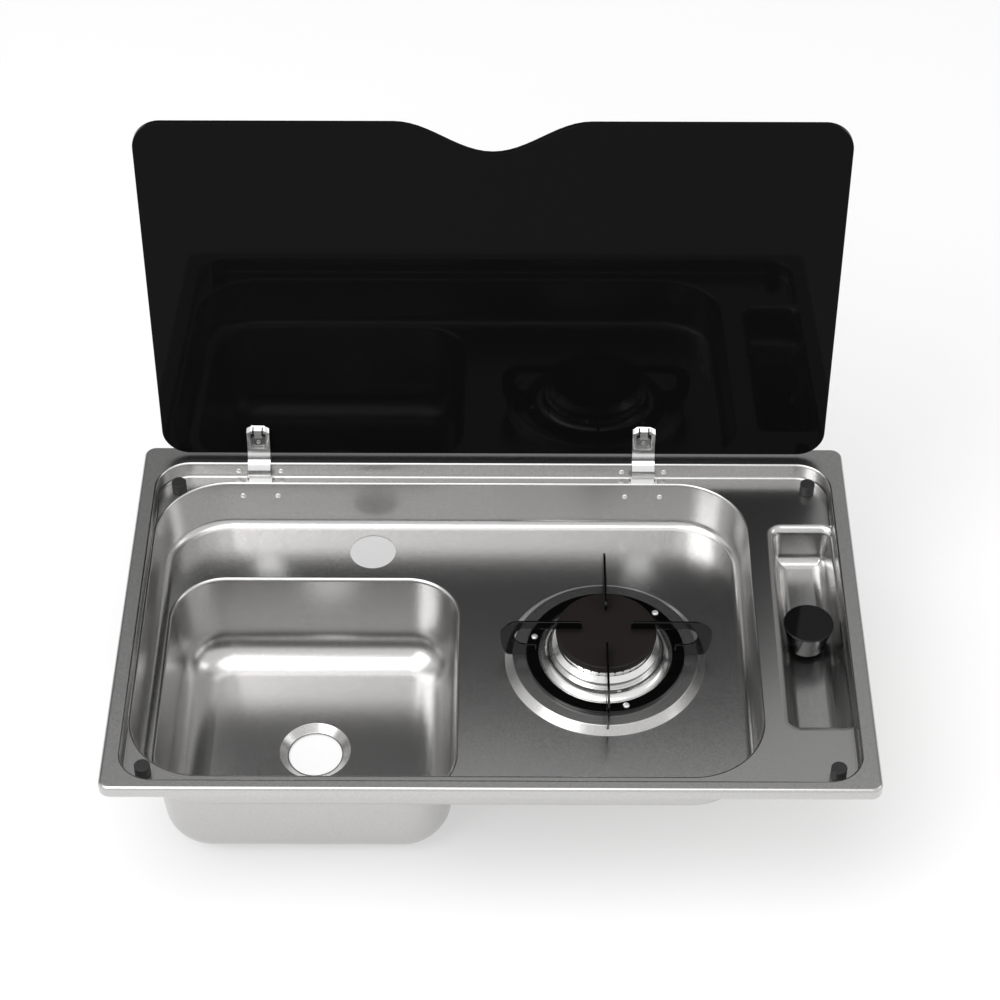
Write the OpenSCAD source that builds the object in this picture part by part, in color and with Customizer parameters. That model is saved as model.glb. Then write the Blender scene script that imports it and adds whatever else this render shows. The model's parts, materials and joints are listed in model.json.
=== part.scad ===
// Hob and sink combination for a worktop: one steel pressing with a deep bowl, a gas burner,
// a tray for the control knob and a hinged glass lid that closes into the recess.
// Millimetres, +Z up, origin at the centre of the plane where the rim meets the worktop.

/* [Rim] */
// Overall width of the rim, left to right
rim_w = 600; // [560:1:680]
// Overall depth of the rim, front to back
rim_d = 374; // [350:1:440]
// Height of the rim above the worktop
rim_h = 9.5; // [8:0.5:14]
// Plan radius of the rim's corners
rim_corner_r = 9.5; // [6:0.5:20]
// Rounding along the rim's top outer edge
rim_edge_r = 3; // [2:0.5:5]
// Thickness of the steel sheet
sheet_t = 0.8; // [0.6:0.1:1.2]

/* [Lid recess] */
// Width of the flat rim at the two sides
rim_side = 14; // [13:0.5:20]
// Width of the flat rim at the front
rim_front = 10.5; // [10:0.5:20]
// Width of the flat rim at the back
rim_back = 21; // [20:0.5:30]
// Depth of the recess from the rim's top to the ledge
recess_depth = 15; // [14:0.5:18]
// Plan radius of the recess corners
recess_corner_r = 27; // [22:1:34]
// Rounding where the recess wall turns into rim or ledge
press_r = 2; // [1.5:0.1:3]

/* [Basin] */
// Width of the ledge behind the basin
ledge_back = 9; // [9:0.5:12]
// Width of the ledge in front of the basin
ledge_front = 16; // [12:0.5:22]
// Width of the ledge between the basin and the tray
divider = 22.5; // [16:0.5:24]
// Depth of the basin below the ledge
basin_depth = 45; // [40:1:50]
// Plan radius of the basin corners
basin_corner_r = 58; // [50:1:70]
// How far each basin wall leans in by its foot
basin_draft = 3.5; // [2:0.5:6]
// Fillet along the foot of the basin wall
basin_foot_r = 8; // [6:0.5:10]

/* [Bowl] */
// Width of the bowl at the basin floor
bowl_w = 240; // [220:1:242]
// Depth of the bowl, front to back, at the basin floor
bowl_d = 232; // [215:1:236]
// Drop from the basin floor to the bowl floor
bowl_depth = 87; // [70:1:120]
// Plan radius of the bowl corners
bowl_corner_r = 43; // [40:1:60]
// How far each bowl wall leans in by its foot
bowl_draft = 4; // [3:0.5:6]
// Fillet along the foot of the bowl wall
bowl_foot_r = 30; // [20:1:34]
// Rounding of the lip where the bowl leaves the basin floor
bowl_lip_r = 3; // [2:0.5:3.5]
// Flat floor left of the bowl's lip
bowl_left_gap = 0.2; // [0.1:0.1:4]
// Flat floor in front of the bowl's lip
bowl_front_gap = 0.3; // [0.1:0.1:4]
// Diameter of the waste hole
drain_d = 45; // [40:1:52]
// Diameter of the dish pressed around the waste hole
drain_dish_d = 60; // [58:1:64]
// Depth of the dish
drain_dish_depth = 5; // [3:0.5:6]
// Flat width of the seat around the waste hole
drain_seat = 1; // [0.5:0.5:2]

/* [Tap hole] */
// Diameter of the hole for a water tap
tap_hole_d = 39; // [32:0.5:40]
// Tap hole centre, right of the bowl centre
tap_hole_right = 46; // [30:1:60]
// Tap hole centre, in front of the basin's back edge
tap_hole_front = 37.5; // [35:0.5:39]

/* [Burner] */
// Burner centre, left of the basin's right edge
burner_left = 121; // [110:1:126]
// Burner centre, behind the basin's front edge
burner_back = 159; // [145:1:170]
// Diameter of the raised plateau under the burner
plateau_d = 166; // [162:1:170]
// Height of the plateau above the basin floor
plateau_h = 6; // [4:0.5:8]
// Width of the plateau's sloping edge
plateau_slope = 6.6; // [4:0.2:8]
// Overhang of the cap over the flame ports
cap_overhang = 3.4; // [2:0.2:5]
// Thickness of the cap at its rim
cap_t = 6.5; // [5:0.5:8]
// Height of the cap's top above the plateau
cap_top = 29; // [27:0.5:32]
// Diameter of the burner base where it sits on the plateau
base_d = 108; // [106:0.5:109]
// Width of the base's flange outside its cup
base_flange = 14; // [13:0.5:15]
// Depth of the cup below the plateau
cup_depth = 20; // [16:1:26]
// Wall of the burner castings
cast_t = 2.5; // [2:0.1:3]
// Number of flame ports around the head
ports = 36; // [24:2:44]

/* [Pan support] */
// Width of the support ring
ring_w = 10.2; // [9:0.1:11]
// Gap between the support ring and the burner base
ring_gap = 1.2; // [0.5:0.1:2]
// Thickness of the support ring
ring_t = 3; // [2.5:0.5:4]
// Thickness of each arm
arm_t = 2; // [1.5:0.1:3]
// Height of the arms' top edge above the plateau
arm_top = 39.5; // [38:0.5:40]
// Radius at which an arm starts over the burner
arm_tip_r = 20; // [16:1:24]
// Radius of an arm's outermost bulge
arm_bulge_r = 87; // [84:1:88]
// Height of an arm's upper bar
arm_bar = 8; // [6:0.5:8.5]
// Height of an arm's foot
arm_foot = 12; // [9:0.5:14]

/* [Knob and tray] */
// Width of the tray at the ledge
tray_w = 47; // [45:1:54]
// Length of the tray, front to back
tray_d = 212; // [190:1:230]
// Depth of the tray below the ledge
tray_depth = 35; // [32:0.5:37]
// Plan radius of the tray corners
tray_corner_r = 7; // [5:1:16]
// How far each tray wall leans in by its foot
tray_draft = 2.5; // [1:0.5:3]
// Fillet along the foot of the tray wall
tray_foot_r = 10.5; // [8:0.5:14]
// Radius of the tray's upper edge
tray_edge_r = 7; // [4:0.5:8]
// Middle of the tray, in front of the middle of the rim
tray_forward = 2; // [0:0.5:4]
// Knob centre, behind the middle of the tray
knob_back = 5; // [-10:1:20]
// Knob centre, right of the middle of the tray
knob_right = -1.5; // [-3:0.5:1]
// Diameter of the knob's face
knob_d = 41; // [36:0.5:42]
// Diameter of the knob's lower end
knob_foot_d = 29.5; // [26:0.5:32]
// Height of the knob
knob_h = 25.5; // [20:0.5:28]
// Gap under the knob, above the tray floor
knob_gap = 4.5; // [3:0.1:5]
// Travel when the knob is pushed
push_travel = 2.4; // [1.5:0.1:2.5]

/* [Gas tap and pipes] */
// Diameter of the tap's spindle
spindle_d = 8; // [6:0.5:8]
// Length of the tap's body, front to back
tap_body_l = 46; // [44:1:60]
// Width and height of the tap's body
tap_body_w = 24; // [22:0.5:28]
// Drop from the tray's underside to the middle of the tap's body
tap_body_drop = 26; // [25:0.5:34]
// Outer diameter of the gas inlet pipe
inlet_d = 8; // [6:1:8]
// Length of the gas inlet pipe behind its nut
inlet_l = 88; // [70:1:95]
// Length of the pipe's end that a gas fitting takes, up to the stop bead
inlet_free = 30; // [20:1:34]
// Wall of the gas inlet pipe
inlet_wall = 1; // [0.8:0.1:1.2]
// Outer diameter of the pipe to the burner
feed_d = 6; // [5:0.5:6]

/* [Lid] */
// Thickness of the glass
glass_t = 5; // [4:0.5:5]
// Gap between glass and recess wall at each side
glass_side_gap = 3.5; // [3:0.1:6]
// Gap between glass and recess wall at the front
glass_front_gap = 7.6; // [5:0.1:10]
// Plan radius of the glass corners
glass_corner_r = 23; // [20:0.5:27]
// Depth of the finger notch
notch_depth = 27.5; // [20:0.5:34]
// Half the width of the finger notch
notch_half = 77.5; // [70:0.5:90]
// Angle between the closed and the open lid
open_angle = 95.5; // [90:0.25:98]

/* [Hinges] */
// Left hinge, right of the basin's left edge
hinge_left = 83.5; // [83:0.5:120]
// Right hinge, left of the basin's right edge
hinge_right = 86; // [83:0.5:120]
// Hinge axis, behind the recess wall
axis_back = 5.5; // [5.5:0.1:6]
// Hinge axis, below the rim's top
axis_down = 7.5; // [7.5:0.1:8]
// Width of the hinge arm
arm_w = 19.2; // [16:0.2:22]
// Thickness of the hinge arm
leaf_t = 1.5; // [1.2:0.1:1.6]
// Inner radius of the arm's curve around the recess wall
curl_r = 9.8; // [9.8:0.1:10]
// Gap from the hinge axis to the glass edge
glass_back_gap = 11.8; // [11.6:0.1:15]
// Length of the clamp along the glass
clamp_l = 30.2; // [24:0.2:34]
// How far the clamp's body stands out below its leaf
clamp_rise = 2.3; // [1.5:0.1:3]
// Diameter of the hinge pin
pin_d = 4; // [3:0.5:4]

/* [Bumpers] */
// Diameter of a rubber bumper
bumper_d = 12.5; // [10:0.5:14]
// Bumper centre from the recess wall at each side
bumper_side = 17.5; // [15:0.5:19]
// Bumper centre from the recess wall at front and back
bumper_end = 17; // [15:0.5:19]

/* [Fits] */
// Radial running clearance of pins and spindles
run_gap = 0.05; // [0.02:0.01:0.1]
// Gap between parts that only rest on each other
rest_gap = 0.3; // [0.2:0.05:0.5]
// Gap left around a part that passes through a hole
pass_gap = 1; // [0.5:0.1:1.5]
// Gap between faces that are pressed or screwed together
seat_gap = 0.02; // [0.01:0.01:0.05]

/* [Hidden] */

// Circle facets where curves stay exact, and steps per corner of the pressed outlines
$fn = 64;
corner_steps = 8;
edge_steps = 2;
foot_steps = 5;
// Overlap that lets a cut break cleanly through a face
cut = 1;

// Levels
rim_top = rim_h;
ledge_z = rim_top - recess_depth;
floor_z = ledge_z - basin_depth;
bowl_floor_z = floor_z - bowl_depth;
tray_floor_z = ledge_z - tray_depth;
plateau_z = floor_z + plateau_h;

// Outlines are [left, right, front, back] in plan
rim_box = [-rim_w / 2, rim_w / 2, -rim_d / 2, rim_d / 2];
recess_box = [rim_box[0] + rim_side, rim_box[1] - rim_side, rim_box[2] + rim_front, rim_box[3] - rim_back];
tray_right = recess_box[1] - press_r;
tray_box = [tray_right - tray_w, tray_right, -tray_forward - tray_d / 2, -tray_forward + tray_d / 2];
basin_box = [
  recess_box[0] + press_r, tray_box[0] - divider, recess_box[2] + ledge_front, recess_box[3] - ledge_back
];
basin_foot = basin_draft + basin_foot_r;
bowl_left = basin_box[0] + basin_foot + bowl_left_gap + bowl_lip_r;
bowl_front = basin_box[2] + basin_foot + bowl_front_gap + bowl_lip_r;
bowl_box = [bowl_left, bowl_left + bowl_w, bowl_front, bowl_front + bowl_d];
bowl_mid = [(bowl_box[0] + bowl_box[1]) / 2, (bowl_box[2] + bowl_box[3]) / 2];

// Burner and support ring diameters
cup_d = base_d - 2 * base_flange;
ring_bore_d = base_d + 2 * ring_gap;
ring_d = ring_bore_d + 2 * ring_w;

// Points in plan
drain = bowl_mid;
tap_hole = [bowl_mid[0] + tap_hole_right, basin_box[3] - tap_hole_front];
burner = [basin_box[1] - burner_left, basin_box[2] + burner_back];
knob_at = [tray_right - tray_w / 2 + knob_right, knob_back - tray_forward];
hinge_xs = [basin_box[0] + hinge_left, basin_box[1] - hinge_right];
axis_y = recess_box[3] + axis_back;
axis_z = rim_top - axis_down;
bumper_sides = [recess_box[0] + bumper_side, recess_box[1] - bumper_side];
bumper_ends = [recess_box[2] + bumper_end, recess_box[3] - bumper_end];

// Four corners of a box, each with its corner's first angle, counter-clockwise
function corners(b, r) = [
  [b[1] - r, b[3] - r, 0], [b[0] + r, b[3] - r, 90], [b[0] + r, b[2] + r, 180], [b[1] - r, b[2] + r, 270]
];
// Box pulled in by a distance on every side
function shrink(b, by) = [b[0] + by, b[1] - by, b[2] + by, b[3] - by];
// Points of a rounded box at a height
function ring(b, r, z) = [
  for (c = corners(b, r), i = [0 : corner_steps])
    let (a = c[2] + 90 * i / corner_steps) [c[0] + r * cos(a), c[1] + r * sin(a), z]
];
// Rounded box of a pressing's outline, pulled in, with a corner radius that never vanishes
function inset_ring(b, r, by, z) = ring(shrink(b, by), max(r - by, cut), z);

// Profile of a pressed tub as [inset, height] pairs from its mouth down to its floor.
// skin is 0 for the inner surface and the sheet's thickness for the outer one.
function tub_profile(top, bottom, edge_r, foot_r, draft, skin, lead) = concat(
  [[-edge_r, top + lead]],
  [for (i = [edge_steps : -1 : 0])
    let (a = 90 * i / edge_steps)
    [-edge_r + (edge_r - skin) * cos(a), top - edge_r + (edge_r - skin) * sin(a)]],
  [for (i = [0 : foot_steps])
    let (a = 90 * i / foot_steps)
    [draft + foot_r - (foot_r + skin) * cos(a), bottom + foot_r - (foot_r + skin) * sin(a)]]
);

// Solid between two or more rings of equal length, first ring on top
module loft(rings) {
  n = len(rings[0]);
  last = len(rings) - 1;
  sides = [
    for (k = [0 : last - 1], i = [0 : n - 1])
      let (j = (i + 1) % n) [k * n + i, k * n + j, (k + 1) * n + j, (k + 1) * n + i]
  ];
  top_face = [for (i = [n - 1 : -1 : 0]) i];
  bottom_face = [for (i = [0 : n - 1]) last * n + i];
  polyhedron([for (r = rings) each r], concat([top_face], sides, [bottom_face]), convexity = 6);
}

module tub(b, r, top, bottom, edge_r, foot_r, draft, skin, lead) {
  loft([for (p = tub_profile(top, bottom, edge_r, foot_r, draft, skin, lead)) inset_ring(b, r, p[0], p[1])]);
}

// Rim with rounded top edge; skin is 0 for the outside and the sheet's thickness for the hollow
module rim_form(skin, lead) {
  edge = [
    for (i = [edge_steps : -1 : 0])
      let (a = 90 * i / edge_steps)
      inset_ring(rim_box, rim_corner_r, rim_edge_r - (rim_edge_r - skin) * cos(a),
                 rim_top - rim_edge_r + (rim_edge_r - skin) * sin(a))
  ];
  loft(concat(edge, [inset_ring(rim_box, rim_corner_r, skin, -lead)]));
}

module recess_tub(skin, lead) {
  tub(recess_box, recess_corner_r, rim_top, ledge_z, press_r, press_r, 0, skin, lead);
}

module basin_tub(skin, lead) {
  tub(basin_box, basin_corner_r, ledge_z, floor_z, press_r, basin_foot_r, basin_draft, skin, lead);
}

module bowl_tub(skin, lead) {
  tub(bowl_box, bowl_corner_r, floor_z, bowl_floor_z, bowl_lip_r, bowl_foot_r, bowl_draft, skin, lead);
}

module tray_tub(skin, lead) {
  reach = 2 * tray_edge_r;
  intersection() {
    tub(tray_box, tray_corner_r, ledge_z, tray_floor_z, tray_edge_r, tray_foot_r, tray_draft, skin, lead);
    translate([tray_box[0] - reach, tray_box[2] - reach, tray_floor_z - press_r])
      cube([recess_box[1] + skin - tray_box[0] + reach, tray_d + 2 * reach, tray_depth + 3 * press_r]);
  }
}

// Straight cut of the bowl's lip outline through the basin floor
module bowl_opening() {
  outline = inset_ring(bowl_box, bowl_corner_r, -bowl_lip_r, 0);
  translate([0, 0, floor_z - sheet_t - cut])
    linear_extrude(sheet_t + 2 * cut) polygon([for (p = outline) [p[0], p[1]]]);
}

// Things at the burner's axis, measured up from the plateau
module at_burner() {
  translate([burner[0], burner[1], plateau_z]) children();
}

// Things at the knob's axis
module at_knob() {
  translate([knob_at[0], knob_at[1], 0]) children();
}

// Things repeated at even angles on a radius
module around(count, radius, start) {
  for (i = [0 : count - 1]) rotate(start + 360 * i / count) translate([radius, 0, 0]) children();
}

// Fasteners
screw_d = 3;
screw_hole_d = screw_d + 2 * rest_gap;
screw_head_d = 5.2;
screw_head_h = 1.8;
nut_t = 2.4;
screw_end = 1;
ring_screw_r = (ring_d + ring_bore_d) / 4;
ring_screw_start = 45;
base_screw_in = 6.5;
base_screw_r = base_d / 2 - base_screw_in;
base_screw_start = 90;
base_screw_depth = 2.6;

// Screw along -Z with its head on the plane z = 0
module screw(length) {
  translate([0, 0, -length]) cylinder(h = length + screw_head_h / 2, d = screw_d, $fn = 24);
  cylinder(h = screw_head_h / 2, d = screw_head_d, $fn = 32);
  translate([0, 0, screw_head_h / 2])
    cylinder(h = screw_head_h / 2, d1 = screw_head_d, d2 = screw_head_d * 0.6, $fn = 32);
}

// Hinge sizes, measured from the hinge axis in the plane across it
hinge_side_gap = 0.4;
cheek_t = leaf_t;
cheek_x = arm_w / 2 + hinge_side_gap;
eye_r = pin_d / 2 + leaf_t;
curl_outer_r = curl_r + leaf_t;
wall_back = -(axis_back - sheet_t);
ledge_under = ledge_z - sheet_t - axis_z;
slot_side_gap = 2.2;
slot_w = arm_w + 2 * slot_side_gap;
slot_edge = 1.4;
slot_front = basin_box[3] + slot_edge;
slot_rise = press_r / 2;
upper_screw_x = 18;
upper_screw_z = -1;
lower_screw_x = 15;
lower_screw_z = -21;
// Slope of the basin's back wall and its outer face at a height over the hinge axis
wall_run = basin_depth - press_r - basin_foot_r;
wall_tilt = atan(basin_draft / wall_run);
function wall_face(z) = basin_box[3] + sheet_t - axis_y
  - basin_draft * (ledge_z - press_r - axis_z - z) / wall_run;

module deck_pressing() {
  color("silver") difference() {
    union() {
      difference() {
        union() {
          difference() {
            rim_form(0, 0);
            rim_form(sheet_t, cut);
          }
          recess_tub(sheet_t, -sheet_t / 2);
          basin_tub(sheet_t, -sheet_t / 2);
          tray_tub(sheet_t, -sheet_t / 2);
        }
        recess_tub(0, cut);
        basin_tub(0, press_r + cut);
        tray_tub(0, press_r + cut);
      }
      translate([burner[0], burner[1], floor_z - sheet_t]) {
        cylinder(h = sheet_t, d = plateau_d);
        translate([0, 0, sheet_t]) cylinder(h = plateau_h, d1 = plateau_d, d2 = plateau_d - 2 * plateau_slope);
      }
    }
    translate([burner[0], burner[1], floor_z - sheet_t]) {
      cylinder(h = plateau_h, d1 = plateau_d, d2 = plateau_d - 2 * plateau_slope);
      translate([0, 0, -cut]) cylinder(h = cut, d = plateau_d);
    }
    bowl_opening();
    at_burner() {
      translate([0, 0, -cut - sheet_t]) cylinder(h = sheet_t + 2 * cut, d = cup_d + 2 * pass_gap);
      around(3, ring_screw_r, ring_screw_start)
        translate([0, 0, -cut - sheet_t]) cylinder(h = sheet_t + 2 * cut, d = screw_hole_d, $fn = 24);
      around(3, base_screw_r, base_screw_start)
        translate([0, 0, -cut - sheet_t]) cylinder(h = sheet_t + 2 * cut, d = screw_hole_d, $fn = 24);
    }
    translate([tap_hole[0], tap_hole[1], floor_z - sheet_t - cut])
      cylinder(h = sheet_t + 2 * cut, d = tap_hole_d);
    at_knob() translate([0, 0, tray_floor_z - sheet_t - cut])
      cylinder(h = sheet_t + 2 * cut, d = tray_hole_d);
    for (x = bumper_sides, y = bumper_ends)
      translate([x, y, ledge_z - sheet_t - cut])
        cylinder(h = sheet_t + 2 * cut, d = bumper_stem_d, $fn = 32);
    for (x = hinge_xs) {
      translate([x - slot_w / 2, slot_front, ledge_z - sheet_t - cut])
        cube([slot_w, axis_y + wall_back + cut - slot_front, sheet_t + cut + slot_rise]);
      for (s = [-1, 1]) {
        translate([x + s * upper_screw_x, axis_y + wall_back + cut, axis_z + upper_screw_z])
          rotate([90, 0, 0]) cylinder(h = sheet_t + 2 * cut, d = screw_hole_d, $fn = 24);
        translate([x + s * lower_screw_x, axis_y + wall_face(lower_screw_z), axis_z + lower_screw_z])
          rotate([90 - wall_tilt, 0, 0]) translate([0, 0, -cut])
            cylinder(h = sheet_t + 2 * cut, d = screw_hole_d, $fn = 24);
      }
    }
  }
}

// Bowl, welded along its lip into the basin floor, with a dished seat for a waste fitting
module sink_bowl() {
  seat_d = drain_d + 2 * drain_seat;
  color("silver") difference() {
    union() {
      bowl_tub(sheet_t, 0);
      translate([drain[0], drain[1], bowl_floor_z - sheet_t - drain_dish_depth]) {
        cylinder(h = drain_dish_depth, d1 = seat_d, d2 = drain_dish_d);
        translate([0, 0, drain_dish_depth]) cylinder(h = sheet_t, d = drain_dish_d);
      }
    }
    bowl_tub(0, cut);
    translate([drain[0], drain[1], bowl_floor_z - drain_dish_depth]) {
      cylinder(h = drain_dish_depth, d1 = seat_d, d2 = drain_dish_d);
      translate([0, 0, drain_dish_depth]) cylinder(h = cut, d = drain_dish_d);
      translate([0, 0, -sheet_t - cut]) cylinder(h = sheet_t + 2 * cut, d = drain_d);
    }
  }
}

// Foam strip inside the rim's skirt, which meets the worktop outside the hinges' sweep
seal_w = rim_back - sheet_t - axis_back - curl_outer_r - 2 * rest_gap;
seal_h = rim_top - rim_edge_r - rest_gap;
module worktop_seal() {
  outer = inset_ring(rim_box, rim_corner_r, sheet_t, 0);
  inner = inset_ring(rim_box, rim_corner_r, sheet_t + seal_w, 0);
  color("dimgray") linear_extrude(seal_h) difference() {
    polygon([for (p = outer) [p[0], p[1]]]);
    polygon([for (p = inner) [p[0], p[1]]]);
  }
}

// Rubber bumper on the ledge, with a stem and a barb through the sheet
bumper_stem_d = 5;
bumper_h = rim_top - glass_t - rest_gap - ledge_z;
module bumper(x, y) {
  round_edge = 1;
  stem_r = bumper_stem_d / 2 - run_gap;
  barb = 1;
  barb_l = 4;
  barb_rim = 0.5;
  color([0.05, 0.05, 0.05]) translate([x, y, ledge_z]) rotate_extrude() polygon([
    [0, -sheet_t - barb_l], [stem_r - barb, -sheet_t - barb_l], [stem_r + barb, -sheet_t - barb_rim],
    [stem_r + barb, -sheet_t], [stem_r, -sheet_t], [stem_r, 0], [bumper_d / 2, 0],
    [bumper_d / 2, bumper_h - round_edge], [bumper_d / 2 - round_edge, bumper_h], [0, bumper_h]
  ]);
}
module bumper_front_left() { bumper(bumper_sides[0], bumper_ends[0]); }
module bumper_front_right() { bumper(bumper_sides[1], bumper_ends[0]); }
module bumper_back_left() { bumper(bumper_sides[0], bumper_ends[1]); }
module bumper_back_right() { bumper(bumper_sides[1], bumper_ends[1]); }

// Burner: a cast base and cup in the plateau's hole, a ported head on it and an enamelled cap.
// The base rises as a cone, the head as a wall, a bevel and a crown with the flame ports.
base_top = 8;
base_slope = 8;
base_top_r = base_d / 2 - base_slope;
cup_bore_r = cup_d / 2 - cast_t;
injector_hole_r = 8;
head_shelf = 2;
head_r = base_top_r - head_shelf;
head_step = 6;
head_bevel = 3.5;
crown_inset = 6;
port_r = head_r - crown_inset;
cap_d = 2 * (port_r + cap_overhang);
crown_t = 5;
crown_bottom = base_top + head_step + head_bevel;
crown_top = cap_top - cap_t;
port_w = 1.6;
port_sill = 1;
throat_r = 11;
throat_bottom = -8;

module burner_base() {
  base_edge = 1;
  base_flare = 4.5;
  color([0.8, 0.8, 0.8]) at_burner() difference() {
    rotate_extrude() polygon([
      [injector_hole_r, -cup_depth], [cup_d / 2, -cup_depth], [cup_d / 2, 0], [base_d / 2, 0],
      [base_d / 2, base_edge], [base_screw_r, base_flare], [base_top_r, base_top], [cup_bore_r, base_top],
      [cup_bore_r, cast_t - cup_depth], [injector_hole_r, cast_t - cup_depth]
    ]);
    around(3, base_screw_r, base_screw_start)
      translate([0, 0, -cut]) cylinder(h = base_screw_depth + rest_gap + cut, d = screw_d + 2 * run_gap, $fn = 24);
  }
}

module burner_head() {
  spigot_r = cup_bore_r - rest_gap;
  spigot_h = 4;
  color([0.75, 0.75, 0.74]) at_burner() difference() {
    rotate_extrude() polygon([
      [throat_r, throat_bottom], [throat_r + cast_t, throat_bottom], [throat_r + cast_t, base_top],
      [spigot_r - cast_t, base_top], [spigot_r - cast_t, base_top - spigot_h],
      [spigot_r, base_top - spigot_h], [spigot_r, base_top], [head_r, base_top],
      [head_r, base_top + head_step], [head_r - head_bevel, crown_bottom], [port_r, crown_bottom],
      [port_r, crown_top], [port_r - crown_t, crown_top], [port_r - crown_t, base_top + cast_t],
      [throat_r, base_top + cast_t]
    ]);
    for (i = [0 : ports / 2 - 1])
      rotate(360 * i / ports) translate([-cap_d / 2, -port_w / 2, crown_bottom + port_sill])
        cube([cap_d, port_w, crown_top]);
  }
}

module burner_cap() {
  lip = port_r - crown_t - rest_gap;
  lip_h = 2.5;
  cap_edge = 1;
  color([0.13, 0.11, 0.1]) at_burner() rotate_extrude() polygon([
    [0, crown_top], [lip - cast_t, crown_top], [lip - cast_t, crown_top - lip_h],
    [lip, crown_top - lip_h], [lip, crown_top], [cap_d / 2 - cap_edge, crown_top],
    [cap_d / 2, cap_top - 1.5 * cap_edge], [cap_d / 2 - 0.5 * cap_edge, cap_top - 0.4 * cap_edge],
    [cap_d / 2 - 2 * cap_edge, cap_top], [0, cap_top]
  ]);
}

module burner_screws() {
  color("gainsboro") at_burner() around(3, base_screw_r, base_screw_start)
    translate([0, 0, -sheet_t]) mirror([0, 0, 1]) screw(base_screw_depth + sheet_t);
}

// Gas jet under the cup, with a side boss for the feed pipe
jet_flange_r = 11;
jet_flange_t = 3;
jet_boss_r = 8;
jet_boss_h = 17;
jet_pipe_z = -cup_depth - jet_flange_t - jet_boss_h / 2;
module injector() {
  jet_r = 3;
  jet_top = throat_bottom - jet_r / 2;
  color("goldenrod") at_burner() difference() {
    rotate_extrude() polygon([
      [0, -cup_depth - jet_flange_t - jet_boss_h], [jet_boss_r, -cup_depth - jet_flange_t - jet_boss_h],
      [jet_boss_r, -cup_depth - jet_flange_t], [jet_flange_r, -cup_depth - jet_flange_t],
      [jet_flange_r, -cup_depth], [injector_hole_r - rest_gap, -cup_depth],
      [injector_hole_r - rest_gap, cast_t - cup_depth], [jet_r * 1.5, cast_t - cup_depth],
      [jet_r, jet_top], [0, jet_top]
    ]);
    translate([0, 0, jet_pipe_z]) rotate([0, 90, 0]) cylinder(h = jet_boss_r + cut, d = feed_d + 2 * run_gap, $fn = 32);
  }
}

// Pan support: a ring screwed to the plateau and four upright arms of sheet steel
module pan_support_ring() {
  color([0.06, 0.06, 0.06]) at_burner() difference() {
    cylinder(h = ring_t, d = ring_d, $fn = 96);
    translate([0, 0, -cut]) cylinder(h = ring_t + 2 * cut, d = ring_bore_d, $fn = 96);
    around(3, ring_screw_r, ring_screw_start)
      translate([0, 0, -cut]) cylinder(h = ring_t + 2 * cut, d = screw_hole_d, $fn = 24);
  }
}

function ellipse_arc(cx, cz, rx, rz, from, to, steps) = [
  for (i = [0 : steps]) let (a = from + (to - from) * i / steps) [cx + rx * cos(a), cz + rz * sin(a)]
];
arm_steps = 8;
module pan_arm(angle) {
  waist_z = 23;
  shoulder_round = 17;
  foot_round = 8;
  eye_round = 9;
  eye_in = 4;
  tip_round = 2;
  shoulder_r = arm_bulge_r - shoulder_round;
  foot_r = arm_bulge_r - foot_round;
  seat_r = ring_screw_r - screw_d;
  gap_r = ring_d / 2 + rest_gap;
  eye_r = shoulder_r - eye_in;
  under_bar = arm_top - arm_bar;
  profile = concat(
    [[arm_tip_r, under_bar], [eye_r, under_bar]],
    ellipse_arc(eye_r, (under_bar + arm_foot) / 2, eye_round, (under_bar - arm_foot) / 2, 90, -90, arm_steps),
    [[seat_r, arm_foot], [seat_r, ring_t], [gap_r, ring_t], [gap_r, 0]],
    ellipse_arc(foot_r, waist_z, arm_bulge_r - foot_r, waist_z, -90, 0, arm_steps),
    ellipse_arc(shoulder_r, waist_z, arm_bulge_r - shoulder_r, arm_top - waist_z, 0, 90, arm_steps),
    [[arm_tip_r + tip_round, arm_top], [arm_tip_r, arm_top - tip_round]]
  );
  color([0.06, 0.06, 0.06]) at_burner() rotate([90, 0, angle])
    translate([0, 0, -arm_t / 2]) linear_extrude(arm_t) polygon(profile);
}
module pan_arm_right() { pan_arm(0); }
module pan_arm_back() { pan_arm(90); }
module pan_arm_left() { pan_arm(180); }
module pan_arm_front() { pan_arm(270); }

module pan_support_screws() {
  color("gainsboro") at_burner() around(3, ring_screw_r, ring_screw_start) {
    translate([0, 0, ring_t]) screw(ring_t + sheet_t + nut_t + screw_end);
    translate([0, 0, -sheet_t - nut_t]) cylinder(h = nut_t, d = 2 * screw_d, $fn = 6);
  }
}

// Gas tap hung under the tray, with a sleeve that slides and a spindle that turns in it
bracket_t = 1.5;
cover_t = 3;
sleeve_wall = 2;
sleeve_d = spindle_d + 2 * run_gap + 2 * sleeve_wall;
sleeve_l = 7;
collar_t = 1.6;
tray_hole_d = sleeve_d + 2 * pass_gap;
tray_under_z = tray_floor_z - sheet_t;
cover_top_z = tray_under_z - bracket_t;
neck_top_z = cover_top_z - cover_t;
tap_mid_z = tray_under_z - tap_body_drop;
tap_block_top_z = tap_mid_z + tap_body_w / 2;
sleeve_rise = 0.8;
sleeve_top_z = neck_top_z + sleeve_rise;
sleeve_bore_z = sleeve_top_z - sleeve_l - push_travel - rest_gap;
spindle_tail = 8;
spindle_foot_z = sleeve_top_z - sleeve_l - spindle_tail;
neck_wall = 3;
neck_d = sleeve_d + 2 * neck_wall;
cover_screw_y = neck_d / 2 + 2 * screw_d;
cover_screw_l = cover_t + bracket_t - rest_gap;
pipe_seat = 6;

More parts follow.
